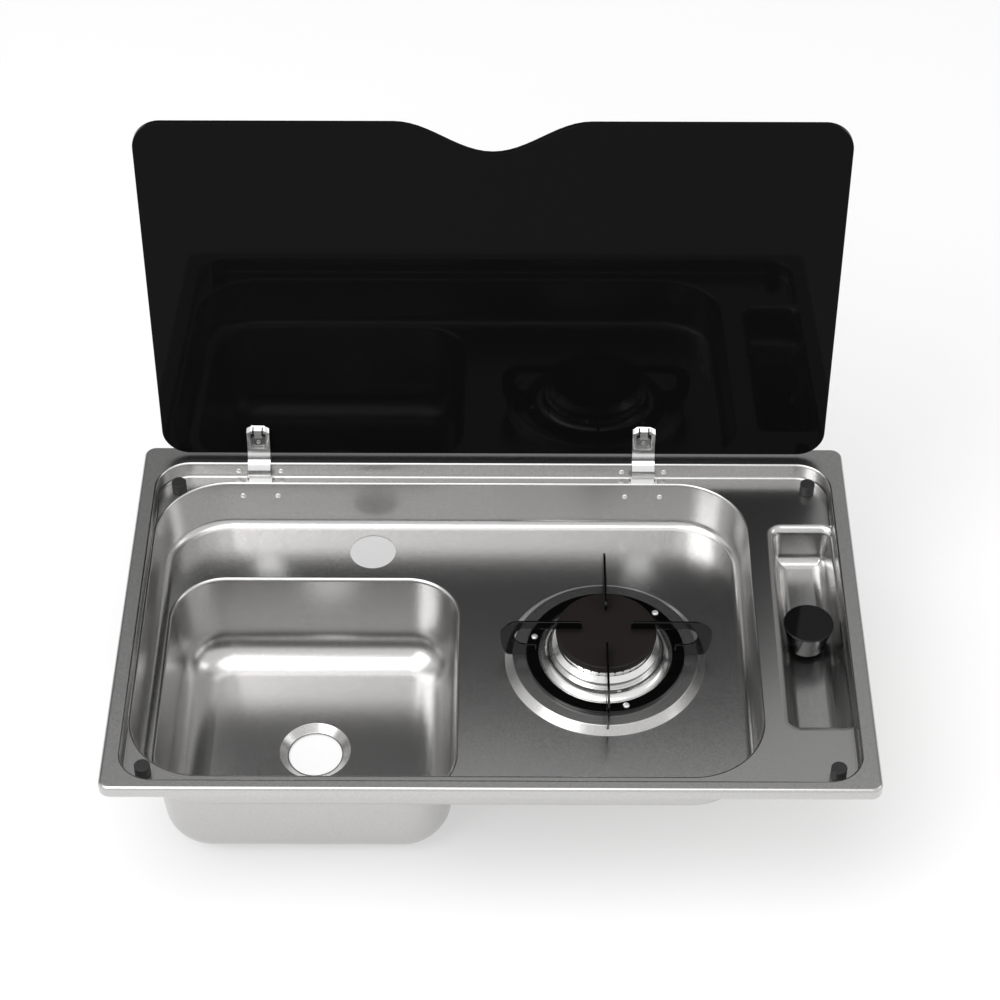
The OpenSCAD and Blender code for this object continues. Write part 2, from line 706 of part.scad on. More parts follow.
module tap_body() {
  color("goldenrod") at_knob() difference() {
    union() {
      translate([-tap_body_w / 2, -tap_body_l / 2, tap_mid_z - tap_body_w / 2])
        cube([tap_body_w, tap_body_l, tap_body_w]);
      translate([0, 0, tap_block_top_z]) cylinder(h = neck_top_z - tap_block_top_z, d = neck_d);
    }
    translate([0, 0, sleeve_bore_z]) cylinder(h = neck_top_z + cut - sleeve_bore_z, d = sleeve_d + 2 * run_gap);
    translate([0, 0, spindle_foot_z - push_travel - pass_gap])
      cylinder(h = sleeve_bore_z - spindle_foot_z + push_travel + pass_gap + cut, d = spindle_d + 2 * rest_gap);
    translate([-tap_body_w / 2 - cut, 0, feed_z])
      rotate([0, 90, 0]) cylinder(h = pipe_seat + cut, d = feed_d + 2 * run_gap, $fn = 32);
    translate([0, tap_body_l / 2 - pipe_seat, tap_mid_z]) rotate([-90, 0, 0])
      cylinder(h = pipe_seat + cut, d = inlet_d + 2 * run_gap, $fn = 32);
  }
}

module tap_cover() {
  cover_l = 2 * (cover_screw_y + screw_head_d);
  color("silver") at_knob() difference() {
    translate([-tap_body_w / 2, -cover_l / 2, neck_top_z]) cube([tap_body_w, cover_l, cover_t]);
    translate([0, 0, neck_top_z - cut]) cylinder(h = cover_t + 2 * cut, d = sleeve_d + 2 * run_gap);
    for (s = [-1, 1]) translate([0, s * cover_screw_y, neck_top_z - cut])
      cylinder(h = cover_t + 2 * cut, d = screw_hole_d, $fn = 24);
  }
}

module tap_bracket() {
  plate_w = tap_body_w + 2 * neck_wall;
  plate_l = 2 * cover_screw_y + 3 * screw_head_d;
  lip = 12;
  color("silver") at_knob() difference() {
    translate([-plate_w / 2, -plate_l / 2, cover_top_z - lip]) cube([plate_w, plate_l, lip + bracket_t]);
    translate([-plate_w / 2 + bracket_t, -plate_l / 2 - cut, cover_top_z - lip - cut])
      cube([plate_w - 2 * bracket_t, plate_l + 2 * cut, lip + cut]);
    translate([0, 0, cover_top_z - cut]) cylinder(h = bracket_t + 2 * cut, d = tray_hole_d);
    for (s = [-1, 1]) translate([0, s * cover_screw_y, cover_top_z - cut])
      cylinder(h = bracket_t + 2 * cut, d = screw_d + 2 * run_gap, $fn = 24);
  }
}

module tap_bracket_screws() {
  color("gainsboro") at_knob() for (s = [-1, 1])
    translate([0, s * cover_screw_y, neck_top_z]) mirror([0, 0, 1]) screw(cover_screw_l);
}

module thrust_sleeve() {
  color("silver") at_knob() translate([0, 0, sleeve_top_z - sleeve_l]) difference() {
    cylinder(h = sleeve_l, d = sleeve_d);
    translate([0, 0, -cut]) cylinder(h = sleeve_l + 2 * cut, d = spindle_d + 2 * run_gap);
  }
}

knob_z = tray_floor_z + knob_gap;
knob_bore_h = 18;
module spindle() {
  color("silver") at_knob() {
    translate([0, 0, spindle_foot_z]) cylinder(h = knob_z + knob_bore_h - pass_gap - spindle_foot_z, d = spindle_d);
    translate([0, 0, sleeve_top_z + rest_gap]) cylinder(h = collar_t, d = sleeve_d - 2 * run_gap);
  }
}

// Knob: a cone that widens to a flat face, hollow round its hub
module knob() {
  wall = 2.5;
  hub_r = spindle_d / 2 + wall;
  hollow_h = 6;
  edge = 0.6;
  bore_r = spindle_d / 2 + seat_gap;
  color([0.05, 0.05, 0.05]) at_knob() translate([0, 0, knob_z]) rotate_extrude() polygon([
    [bore_r, edge], [hub_r, edge], [hub_r, hollow_h], [knob_foot_d / 2 - wall, hollow_h],
    [knob_foot_d / 2 - wall, 0], [knob_foot_d / 2, 0], [knob_d / 2, knob_h - 2 * edge],
    [knob_d / 2 - edge, knob_h], [0, knob_h], [0, knob_bore_h], [bore_r, knob_bore_h]
  ]);
}

// Pipe of round section through a list of points, with round elbows a little fatter than the pipe
elbow_rise = 0.15;
module pipe(points, d) {
  for (i = [0 : len(points) - 2]) {
    v = points[i + 1] - points[i];
    translate(points[i]) rotate([0, acos(v[2] / norm(v)), atan2(v[1], v[0])]) cylinder(h = norm(v), d = d, $fn = 32);
  }
  for (i = [1 : len(points) - 2]) translate(points[i]) sphere(d = d + 2 * elbow_rise, $fn = 32);
}

pipe_nut_d = 15;
pipe_nut_l = 10;
feed_z = tap_mid_z - 4;
feed_start = [knob_at[0] - tap_body_w / 2, knob_at[1], feed_z];
feed_end = [burner[0] + jet_boss_r, burner[1], plateau_z + jet_pipe_z];
feed_straight = 30;

module feed_pipe() {
  color("chocolate") pipe([
    feed_start + [pipe_seat - pass_gap, 0, 0], feed_start - [feed_straight, 0, 0],
    feed_end + [feed_straight, 0, 0], feed_end - [pipe_seat, 0, 0]
  ], feed_d);
}

// Straight pipe out of the tap's back, with a stop bead and an open end for a gas fitting
module inlet_pipe() {
  bead_h = 1;
  bead_w = 2;
  back = tap_body_l / 2 + pipe_nut_l + inlet_l;
  seat = pipe_seat - pass_gap;
  color("chocolate") at_knob() translate([0, 0, tap_mid_z]) rotate([-90, 0, 0]) difference() {
    union() {
      translate([0, 0, tap_body_l / 2 - seat]) cylinder(h = back - tap_body_l / 2 + seat, d = inlet_d, $fn = 32);
      translate([0, 0, back - inlet_free - bead_w]) cylinder(h = bead_w, d = inlet_d + 2 * bead_h, $fn = 32);
    }
    translate([0, 0, tap_body_l / 2]) cylinder(h = back + cut - tap_body_l / 2, d = inlet_d - 2 * inlet_wall, $fn = 32);
  }
}

module pipe_nut(d) {
  difference() {
    cylinder(h = pipe_nut_l, d = pipe_nut_d, $fn = 6);
    translate([0, 0, -cut]) cylinder(h = pipe_nut_l + 2 * cut, d = d + 2 * run_gap, $fn = 32);
  }
}
module pipe_nuts() {
  color("goldenrod") {
    translate(feed_start) rotate([0, -90, 0]) pipe_nut(feed_d);
    translate(feed_end) rotate([0, 90, 0]) pipe_nut(feed_d);
    at_knob() translate([0, tap_body_l / 2, tap_mid_z]) rotate([-90, 0, 0]) pipe_nut(inlet_d);
  }
}

// Extrusion along X of a section drawn in the plane of Y and Z, centred on x = 0
module across(w) {
  translate([-w / 2, 0, 0]) rotate([90, 0, 90]) linear_extrude(w) children();
}
module at_hinge(i) {
  translate([hinge_xs[i], axis_y, axis_z]) children();
}
// Parts of the lid are drawn closed and turned up round the hinge axis
module lid_open() {
  rotate([-open_angle, 0, 0]) children();
}

// Bracket behind the recess wall: two cheeks that hold the pin, ears and a flange for the screws
module hinge_bracket(i) {
  ear_w = 14;
  ear_h = 8;
  flange_h = 14;
  flange_w = 2 * (lower_screw_x + 2 * screw_d);
  bore_d = pin_d + 2 * seat_gap;
  tail = 5;
  foot_w = 11;
  foot_z = lower_screw_z - flange_h / 2;
  notch_z = ledge_under - rest_gap - pass_gap;
  half = leaf_t / 2;
  cheek = [
    [wall_back + half, ear_h / 2], [tail, ear_h / 2], [tail, -tail],
    [wall_face(foot_z) + foot_w, foot_z], [wall_face(foot_z) + half, foot_z],
    [wall_face(notch_z) + half, notch_z], [wall_back + half, notch_z]
  ];
  color("gainsboro") at_hinge(i) difference() {
    union() {
      for (s = [-1, 1]) {
        translate([s * (cheek_x + cheek_t / 2), 0, 0]) across(cheek_t) polygon(cheek);
        translate([s * (cheek_x + ear_w / 2) - ear_w / 2, wall_back, upper_screw_z - ear_h / 2])
          cube([ear_w, leaf_t, ear_h]);
      }
      translate([0, wall_face(lower_screw_z) + seat_gap, lower_screw_z]) rotate([-wall_tilt, 0, 0])
        translate([-flange_w / 2, 0, -flange_h / 2]) cube([flange_w, leaf_t, flange_h]);
    }
    across(3 * arm_w) circle(d = bore_d, $fn = 32);
    for (s = [-1, 1]) {
      translate([s * upper_screw_x, wall_back - cut, upper_screw_z]) rotate([-90, 0, 0])
        cylinder(h = leaf_t + 2 * cut, d = screw_d + 2 * run_gap, $fn = 24);
      translate([s * lower_screw_x, wall_face(lower_screw_z), lower_screw_z]) rotate([-90 - wall_tilt, 0, 0])
        translate([0, 0, -cut]) cylinder(h = leaf_t + 2 * cut, d = screw_d + 2 * run_gap, $fn = 24);
    }
  }
}
module hinge_bracket_left() { hinge_bracket(0); }
module hinge_bracket_right() { hinge_bracket(1); }

module hinge_pin(i) {
  head_t = 1.2;
  head_rim = 1.2;
  pin_l = 2 * (cheek_x + cheek_t + run_gap + head_t);
  color("gainsboro") at_hinge(i) {
    across(pin_l) circle(d = pin_d, $fn = 32);
    translate([(pin_l - head_t) / 2, 0, 0]) across(head_t) circle(d = pin_d + 2 * head_rim, $fn = 32);
  }
}
module hinge_pin_left() { hinge_pin(0); }
module hinge_pin_right() { hinge_pin(1); }

module hinge_screws() {
  length = sheet_t + leaf_t + 1.5 * screw_end;
  color("gainsboro") for (i = [0, 1]) at_hinge(i) for (s = [-1, 1]) {
    translate([s * upper_screw_x, -axis_back, upper_screw_z]) rotate([90, 0, 0]) screw(length);
    translate([s * lower_screw_x, wall_face(lower_screw_z), lower_screw_z]) rotate([90 - wall_tilt, 0, 0])
      translate([0, 0, sheet_t]) screw(length);
  }
}

// Hinge arm, closed: a clamp under the glass, a curl round the recess wall's foot, a web and an eye
glass_under = rim_top - glass_t - axis_z;
pad_t = 0.5;
jaw_t = 1.2;
jaw_l = 14;
web_t = 2;
// Direction from the eye to the web when the lid is open; the web stops on the recess wall's foot
web_open_angle = 246;
web_angle = web_open_angle + open_angle;
plate_top = glass_under - pad_t;
plate_bottom = plate_top - leaf_t;
clamp_front = -(glass_back_gap + clamp_l);
heel_gap = 0.4;
heel = -(glass_back_gap - heel_gap);
jaw_bottom = glass_under + glass_t + pad_t;
window_w = 13.4;
window_l = 12.5;
window_in = 15;
window_at = clamp_front + window_in;
window_floor = 0.6;
clamp_corner = 4.2;
clamp_bevel = 2.3;
clamp_body_l = 24;
body_bottom = plate_bottom - clamp_rise;
// Overlap where two bars of the arm join
join = 0.6;

module curl_section() {
  far = 3 * curl_r;
  from = 168;
  steps = 9;
  intersection() {
    difference() {
      circle(r = curl_outer_r);
      circle(r = curl_r);
    }
    polygon(concat([[0, 0]], [
      for (i = [0 : steps])
        let (a = from + (web_angle - from) * i / steps) far * [cos(a), sin(a)]
    ]));
  }
}

module arm_section() {
  web_in = pin_d / 2 + join;
  difference() {
    union() {
      curl_section();
      circle(r = eye_r, $fn = 48);
      rotate(web_angle) translate([web_in, -web_t / 2]) square([curl_outer_r - join / 2 - web_in, web_t]);
      translate([clamp_front, plate_bottom]) square([-curl_r - join - clamp_front, leaf_t]);
      polygon([
        [clamp_front, plate_top], [clamp_front + clamp_bevel, body_bottom],
        [clamp_front + clamp_body_l - clamp_rise, body_bottom], [clamp_front + clamp_body_l, plate_bottom],
        [clamp_front + clamp_body_l, plate_top]
      ]);
      translate([heel, plate_bottom]) square([leaf_t, jaw_bottom + jaw_t - plate_bottom]);
      translate([heel - jaw_l, jaw_bottom]) square([jaw_l + leaf_t, jaw_t]);
    }
    circle(d = pin_d + 2 * run_gap, $fn = 48);
  }
}

module hinge_arm(i) {
  corner_side = clamp_corner * sqrt(2);
  color("gainsboro") at_hinge(i) lid_open() difference() {
    across(arm_w) arm_section();
    for (s = [-1, 1]) translate([s * arm_w / 2, clamp_front, body_bottom - cut]) rotate(45)
      translate([-corner_side / 2, -corner_side / 2, 0])
        cube([corner_side, corner_side, plate_top - body_bottom + cut + pad_t / 2]);
    translate([-window_w / 2, window_at - window_l / 2, body_bottom - cut])
      cube([window_w, window_l, plate_top - body_bottom + cut - window_floor]);
  }
}
module hinge_arm_left() { hinge_arm(0); }
module hinge_arm_right() { hinge_arm(1); }

// Pressure plate sunk in the clamp's window
module clamp_plate(i) {
  w = window_w - 2 * rest_gap;
  l = window_l - 2 * rest_gap;
  color("gray") at_hinge(i) lid_open()
    translate([-w / 2, window_at - l / 2, plate_bottom + rest_gap]) cube([w, l, leaf_t - window_floor - rest_gap]);
}
module clamp_plate_left() { clamp_plate(0); }
module clamp_plate_right() { clamp_plate(1); }

module clamp_pads(i) {
  side = 1;
  w = arm_w - 2 * side;
  back = heel - side;
  front = clamp_front + clamp_corner + side;
  jaw_front = heel - jaw_l + side;
  color([0.1, 0.1, 0.1]) at_hinge(i) lid_open() {
    translate([-w / 2, front, plate_top]) cube([w, back - front, pad_t]);
    translate([-w / 2, jaw_front, glass_under + glass_t]) cube([w, back - jaw_front, pad_t]);
  }
}
module clamp_pads_left() { clamp_pads(0); }
module clamp_pads_right() { clamp_pads(1); }

module clamp_screws() {
  head_t = 0.8;
  color("silver") for (i = [0, 1]) at_hinge(i) lid_open()
    translate([0, window_at, plate_bottom + rest_gap - head_t]) cylinder(h = head_t, d = 1.5 * screw_d, $fn = 24);
}

// Glass outline: rounded corners and a finger notch along the front edge
glass_box = [
  recess_box[0] + glass_side_gap, recess_box[1] - glass_side_gap,
  recess_box[2] + glass_front_gap - axis_y, -glass_back_gap
];
module lid_glass() {
  notch_steps = 24;
  notch = [
    for (i = [0 : notch_steps])
      let (x = -notch_half + 2 * notch_half * i / notch_steps)
      [x, glass_box[2] + notch_depth * (1 + cos(180 * x / notch_half)) / 2]
  ];
  edge = [
    for (c = corners(glass_box, glass_corner_r), i = [0 : 8])
      let (a = c[2] + 90 * i / 8) [c[0] + glass_corner_r * cos(a), c[1] + glass_corner_r * sin(a)]
  ];
  back_and_left = [for (i = [0 : 26]) edge[i]];
  front_right = [for (i = [27 : 35]) edge[i]];
  color([0.05, 0.05, 0.06, 0.9]) translate([0, axis_y, axis_z]) lid_open() translate([0, 0, glass_under])
    linear_extrude(glass_t) polygon(concat(back_and_left, notch, front_right));
}

deck_pressing();
sink_bowl();
worktop_seal();
bumper_front_left();
bumper_front_right();
bumper_back_left();
bumper_back_right();
burner_base();
burner_head();
burner_cap();
burner_screws();
injector();
pan_support_ring();
pan_arm_right();
pan_arm_back();
pan_arm_left();
pan_arm_front();
pan_support_screws();
tap_body();
tap_bracket();
tap_bracket_screws();
tap_cover();
thrust_sleeve();
spindle();
knob();
feed_pipe();
inlet_pipe();
pipe_nuts();
hinge_bracket_left();
hinge_bracket_right();
hinge_pin_left();
hinge_pin_right();
hinge_screws();
hinge_arm_left();
hinge_arm_right();
clamp_plate_left();
clamp_plate_right();
clamp_pads_left();
clamp_pads_right();
clamp_screws();
lid_glass();
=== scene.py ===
"""Looks of the hob and sink combination: its finishes, its smooth pressings and its small parts.

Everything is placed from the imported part, in its own frame. The scene is in metres; mm() turns
the sizes that are drawn in millimetres into metres.
"""

import json
import math
from collections import namedtuple

import bmesh
import bpy
from mathutils import Matrix, Vector

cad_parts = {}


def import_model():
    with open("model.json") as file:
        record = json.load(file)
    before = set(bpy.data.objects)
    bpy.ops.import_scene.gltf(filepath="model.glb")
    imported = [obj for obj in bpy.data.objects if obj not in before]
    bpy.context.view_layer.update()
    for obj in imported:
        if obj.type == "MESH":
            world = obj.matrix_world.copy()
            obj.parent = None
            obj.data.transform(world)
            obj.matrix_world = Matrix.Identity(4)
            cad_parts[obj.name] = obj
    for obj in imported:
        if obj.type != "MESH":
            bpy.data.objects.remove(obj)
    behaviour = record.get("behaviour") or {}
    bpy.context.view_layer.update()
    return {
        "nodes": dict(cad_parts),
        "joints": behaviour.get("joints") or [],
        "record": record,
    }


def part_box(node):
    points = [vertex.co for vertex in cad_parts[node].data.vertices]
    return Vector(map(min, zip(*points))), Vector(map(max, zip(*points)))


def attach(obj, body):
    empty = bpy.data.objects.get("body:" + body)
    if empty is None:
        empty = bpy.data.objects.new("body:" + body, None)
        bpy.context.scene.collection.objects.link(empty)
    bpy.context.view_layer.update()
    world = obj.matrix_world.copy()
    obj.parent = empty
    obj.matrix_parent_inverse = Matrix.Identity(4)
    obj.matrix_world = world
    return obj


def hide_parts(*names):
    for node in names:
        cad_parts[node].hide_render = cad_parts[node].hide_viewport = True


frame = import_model()
JOINTS = {joint["name"]: joint for joint in frame["joints"]}
MOUNTS = {mount["name"]: mount for mount in frame["record"]["mounts"]}
SIDES = ("left", "right")

# Steps of the round shapes: corners and fillets by the quarter, the others by the whole shape
CORNER_STEPS = 18
FILLET_STEPS = 10
TURN_STEPS = 128
SCREW_STEPS = 32
NOTCH_STEPS = 24
DRILL_STEPS = 96
BUMPER_STEPS = 64
CURL_STEPS, EYE_STEPS = 28, 20
SOFTENING_STEPS = 4


def mm(value):
    """Millimetres to metres, for a number or for each number of a list."""
    return [v * 0.001 for v in value] if isinstance(value, (list, tuple)) else value * 0.001


def mm_pairs(pairs):
    """Millimetres to metres, for a list of pairs."""
    return [tuple(mm(pair)) for pair in pairs]


def middle(node):
    """Middle of a CAD node's box."""
    low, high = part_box(node)
    return (low + high) / 2


def plan(node):
    """Left, right, front and back of a CAD node."""
    low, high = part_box(node)
    return (low.x, high.x, low.y, high.y)


def shrunk(box, left, right, front, back):
    """Such a plan with each side moved in."""
    return (box[0] + left, box[1] - right, box[2] + front, box[3] - back)


# Sizes of the pressings. A box is a plan: left, right, front, back.

SHEET = mm(0.8)
PRESS = mm(2)  # radius of a pressed edge
CUT = mm(1)  # what a cutting shape reaches past the face that it cuts

RIM_BOX = plan("deck_pressing")
RIM_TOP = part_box("deck_pressing")[1].z
RIM_CORNER = mm(9.5)
RIM_EDGE = mm(3)

RECESS_BOX = shrunk(RIM_BOX, *mm([14, 14, 10.5, 21]))
RECESS_CORNER = mm(27)
LEDGE_Z = RIM_TOP - mm(15)

TRAY_W, TRAY_D, TRAY_FORWARD = mm(47), mm(212), mm(2)
TRAY_FLOOR_Z = LEDGE_Z - mm(35)
TRAY_CORNER, TRAY_EDGE = mm(7), mm(7)
TRAY_DRAFT, TRAY_FOOT = mm(2.5), mm(10.5)
TRAY_BOX = (
    RECESS_BOX[1] - PRESS - TRAY_W,
    RECESS_BOX[1] - PRESS,
    -TRAY_FORWARD - TRAY_D / 2,
    -TRAY_FORWARD + TRAY_D / 2,
)

DIVIDER = mm(22.5)
LEDGE_FRONT, LEDGE_BACK = mm(16), mm(9)
FLOOR_Z = LEDGE_Z - mm(45)
BASIN_CORNER = mm(58)
BASIN_DRAFT, BASIN_FOOT = mm(3.5), mm(8)
BASIN_BOX = (
    RECESS_BOX[0] + PRESS,
    TRAY_BOX[0] - DIVIDER,
    RECESS_BOX[2] + LEDGE_FRONT,
    RECESS_BOX[3] - LEDGE_BACK,
)

BOWL_LIP = mm(3)
BOWL_BOX = shrunk(plan("sink_bowl"), BOWL_LIP, BOWL_LIP, BOWL_LIP, BOWL_LIP)
BOWL_FLOOR_Z = FLOOR_Z - mm(87)
BOWL_CORNER = mm(43)
BOWL_DRAFT, BOWL_FOOT = mm(4), mm(30)
BOWL_BRIM = mm(0.5)

DRAIN = Vector(MOUNTS["drain_hole"]["pos_m"])
DRAIN_R = mm(MOUNTS["drain_hole"]["dims"]["r_mm"])
DISH_R, DISH_DEPTH, DISH_SEAT, DISH_EDGE = mm(30), mm(5), mm(1), mm(0.4)
CREASE_OVER, CREASE_UNDER = mm(0.9), mm(0.8)  # softening above and below the sheet
TAP_HOLE = Vector(MOUNTS["tap_hole"]["pos_m"])
TAP_HOLE_R = mm(MOUNTS["tap_hole"]["dims"]["r_mm"])

BURNER = middle("burner_cap")
BURNER_HOLE_R, SPINDLE_HOLE_R = mm(41), mm(7)
PLATEAU_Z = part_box("pan_support_ring")[0].z
PLATEAU_R, PLATEAU_SLOPE = mm(83), mm(6.6)

AXIS = Vector(JOINTS["lid_hinge"]["pos_m"])
OPEN = math.radians(JOINTS["lid_hinge"]["range_deg"][1])
HINGE_X = {side: middle("hinge_arm_" + side).x for side in SIDES}
SLOT_W, SLOT_EDGE, WALL_BACK = mm(23.6), mm(1.4), mm(4.7)

Tub = namedtuple("Tub", "box corner top bottom edge foot draft")
TUBS = {
    "recess": Tub(RECESS_BOX, RECESS_CORNER, RIM_TOP, LEDGE_Z, PRESS, PRESS, 0),
    "basin": Tub(BASIN_BOX, BASIN_CORNER, LEDGE_Z, FLOOR_Z, PRESS, BASIN_FOOT, BASIN_DRAFT),
    "tray": Tub(TRAY_BOX, TRAY_CORNER, LEDGE_Z, TRAY_FLOOR_Z, TRAY_EDGE, TRAY_FOOT, TRAY_DRAFT),
    "bowl": Tub(BOWL_BOX, BOWL_CORNER, FLOOR_Z, BOWL_FLOOR_Z, BOWL_LIP, BOWL_FOOT, BOWL_DRAFT),
}


# Outlines


def arc(cx, cz, rx, rz, start, end, steps=16):
    """Points of an elliptic arc, its angles in degrees."""
    angles = [math.radians(start + (end - start) * i / steps) for i in range(steps + 1)]
    return [(cx + rx * math.cos(angle), cz + rz * math.sin(angle)) for angle in angles]


SMALLEST_CORNER = mm(0.5)


def box_ring(box, radius, z):
    """Points of a rounded rectangle, counter-clockwise from its back right corner."""
    left, right, front, back = box
    radius = max(radius, SMALLEST_CORNER)
    centres = [
        (right - radius, back - radius),
        (left + radius, back - radius),
        (left + radius, front + radius),
        (right - radius, front + radius),
    ]
    points = []
    for quarter, (x, y) in enumerate(centres):
        for step in range(CORNER_STEPS + 1):
            angle = math.pi / 2 * (quarter + step / CORNER_STEPS)
            points.append((x + radius * math.cos(angle), y + radius * math.sin(angle), z))
    return points


def inset_ring(box, radius, inset, z):
    """Ring of a rounded rectangle whose sides are all moved in."""
    return box_ring(shrunk(box, inset, inset, inset, inset), radius - inset, z)


NO_LENGTH = 1e-9
ARC_ROOM = 0.45  # how much of the shorter side an arc may take up
NEARLY_STRAIGHT = math.radians(88)  # half the angle of a corner that is left as it is


def rounded(profile, radius):
    """A profile with each inner corner replaced by an arc of that radius, as far as it fits."""
    done = [profile[0]]
    for before, at, after in zip(profile, profile[1:], profile[2:]):
        a, p, b = Vector(before), Vector(at), Vector(after)
        u, v = a - p, b - p
        if u.length < NO_LENGTH or v.length < NO_LENGTH:
            continue
        half = u.angle(v) / 2
        if half > NEARLY_STRAIGHT:
            done.append(at)
            continue
        reach = min(radius / math.tan(half), min(u.length, v.length) * ARC_ROOM)
        start, end = p + u.normalized() * reach, p + v.normalized() * reach
        for i in range(SOFTENING_STEPS + 1):
            t = i / SOFTENING_STEPS
            done.append(tuple(start * (1 - t) ** 2 + p * 2 * t * (1 - t) + end * t**2))
    return done + [profile[-1]]


# Meshes

SAME_POINT = 1e-7  # points nearer than this are one


def mesh_object(name, points, faces):
    """Object of a new mesh, in the scene."""
    mesh = bpy.data.meshes.new(name)
    mesh.from_pydata([tuple(p) for p in points], [], faces)
    mesh.validate()
    made = bpy.data.objects.new(name, mesh)
    bpy.context.scene.collection.objects.link(made)
    return made


def solid(name, points, faces):
    """Closed mesh with its faces turned outward."""
    made = mesh_object(name, points, faces)
    work = bmesh.new()
    work.from_mesh(made.data)
    bmesh.ops.recalc_face_normals(work, faces=work.faces)
    work.to_mesh(made.data)
    work.free()
    return made


def loft(name, rings):
    """Solid through rings of equal length, the first on top."""
    count = len(rings[0])
    points = [p for ring in rings for p in ring]
    faces = [tuple(range(count - 1, -1, -1))]
    for k in range(len(rings) - 1):
        upper, lower = k * count, (k + 1) * count
        for i in range(count):
            j = (i + 1) % count
            faces.append((upper + i, upper + j, lower + j, lower + i))
    faces.append(tuple((len(rings) - 1) * count + i for i in range(count)))
    return solid(name, points, [tuple(reversed(face)) for face in faces])


def block(name, low, high):
    """Solid box between two corners."""
    x, y, z = zip(low, high)
    ring = [(x[1], y[1]), (x[0], y[1]), (x[0], y[0]), (x[1], y[0])]
    return loft(name, [[(px, py, level) for px, py in ring] for level in (z[1], z[0])])


def lathe(name, profile, centre=(0, 0, 0), steps=TURN_STEPS):
    """Solid of revolution about Z of (radius, height) pairs.

    It is closed where the radius is 0, or where the profile ends at its own start.
    """
    cx, cy, cz = centre
    turns = [2 * math.pi * i / steps for i in range(steps)]
    points, faces, rows = [], [], []
    is_ring = profile[0] == profile[-1]
    for radius, z in profile[:-1] if is_ring else profile:
        first = len(points)
        if radius < SAME_POINT:
            rows.append([first] * steps)
            points.append((cx, cy, cz + z))
        else:
            rows.append(list(range(first, first + steps)))
            points += [
                (cx + radius * math.cos(t), cy + radius * math.sin(t), cz + z) for t in turns
            ]
    if is_ring:
        rows.append(rows[0])
    for a, b in zip(rows, rows[1:]):
        for i in range(steps):
            j = (i + 1) % steps
            corners = tuple(dict.fromkeys((a[i], a[j], b[j], b[i])))
            if len(corners) > 2:
                faces.append(corners)
    return solid(name, points, faces)


def plate(name, outline, thickness, place):
    """Upright plate of an outline in X and Z, centred on Y = 0, all in millimetres."""
    half = thickness / 2
    points = [place @ Vector(mm((x, y, z))) for y in (-half, half) for x, z in outline]
    n = len(outline)
    faces = [tuple(range(n)), tuple(range(2 * n - 1, n - 1, -1))]
    faces += [(i, (i + 1) % n, n + (i + 1) % n, n + i) for i in range(n)]
    return solid(name, points, faces)


def combine(target, tool, operation):
    """Boolean of two solids, kept in the target; the tool is removed."""
    step = target.modifiers.new(operation, "BOOLEAN")
    step.operation = operation
    step.solver = "MANIFOLD"
    step.object = tool
    bpy.context.view_layer.update()
    graph = bpy.context.evaluated_depsgraph_get()
    mesh = bpy.data.meshes.new_from_object(target.evaluated_get(graph))
    target.modifiers.clear()
    target.data = mesh
    bpy.data.objects.remove(tool)


def add(target, tool):
    combine(target, tool, "UNION")


def cut(target, tool):
    combine(target, tool, "DIFFERENCE")


def drill(target, at, radius, low, high):
    """Upright round hole."""
    profile = [(0, low), (radius, low), (radius, high), (0, high)]
    cut(target, lathe("drill", profile, (at.x, at.y, 0), DRILL_STEPS))


def smooth(made, angle=32, bevel=0.0, segments=2):
    """Smooth faces with edges kept sharp beyond an angle, or softened there by a small bevel."""
    work = bmesh.new()
    work.from_mesh(made.data)
    bmesh.ops.remove_doubles(work, verts=work.verts, dist=SAME_POINT)
    bmesh.ops.dissolve_degenerate(work, edges=work.edges, dist=SAME_POINT)
    work.to_mesh(made.data)
    work.free()
    for face in made.data.polygons:
        face.use_smooth = True
    if bevel:
        edge = made.modifiers.new("edge", "BEVEL")
        edge.width = bevel
        edge.segments = segments
        edge.limit_method = "ANGLE"
        edge.angle_limit = math.radians(angle)
    else:
        made.data.set_sharp_from_angle(angle=math.radians(angle))
    weigh = made.modifiers.new("normals", "WEIGHTED_NORMAL")
    weigh.keep_sharp = True
    weigh.weight = 80  # large flat faces lead


def dress(made, body, slot, *nodes, finish=None):
    """Puts a piece on its body in the place of its CAD nodes, in its slot's finish or another."""
    made.data.materials.clear()
    made.data.materials.append(MATERIALS[finish or slot])
    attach(made, body)
    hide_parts(*nodes)


# Materials


def new_material(name, colour, metallic, roughness):
    """A plain material, its node tree and its shader."""
    material = bpy.data.materials.new(name)
    material.use_nodes = True
    shader = material.node_tree.nodes["Principled BSDF"]
    shader.inputs["Base Color"].default_value = (*colour, 1)
    shader.inputs["Metallic"].default_value = metallic
    shader.inputs["Roughness"].default_value = roughness
    return material, material.node_tree, shader


def object_noise(tree, scale, detail, stretch):
    """Noise laid out in the object's own metres; stretch above 1 shortens the grain that way."""
    where = tree.nodes.new("ShaderNodeTexCoord")
    place = tree.nodes.new("ShaderNodeMapping")
    place.inputs["Scale"].default_value = stretch
    noise = tree.nodes.new("ShaderNodeTexNoise")
    noise.inputs["Scale"].default_value = scale
    noise.inputs["Detail"].default_value = detail
    tree.links.new(where.outputs["Object"], place.inputs["Vector"])
    tree.links.new(place.outputs["Vector"], noise.inputs["Vector"])
    return noise.outputs["Fac"]


def ramp(tree, value, low, high, at=(0.3, 0.7)):
    """Value between two colours or two levels."""
    node = tree.nodes.new("ShaderNodeValToRGB")
    for element, position, level in zip(node.color_ramp.elements, at, (low, high)):
        element.position = position
        element.color = (*grey(level), 1)
    tree.links.new(value, node.inputs["Fac"])
    return node.outputs["Color"]


def grey(level):
    """Colour of one level, or the colour itself."""
    return level if isinstance(level, (list, tuple)) else (level, level, level)


MATERIALS = {}


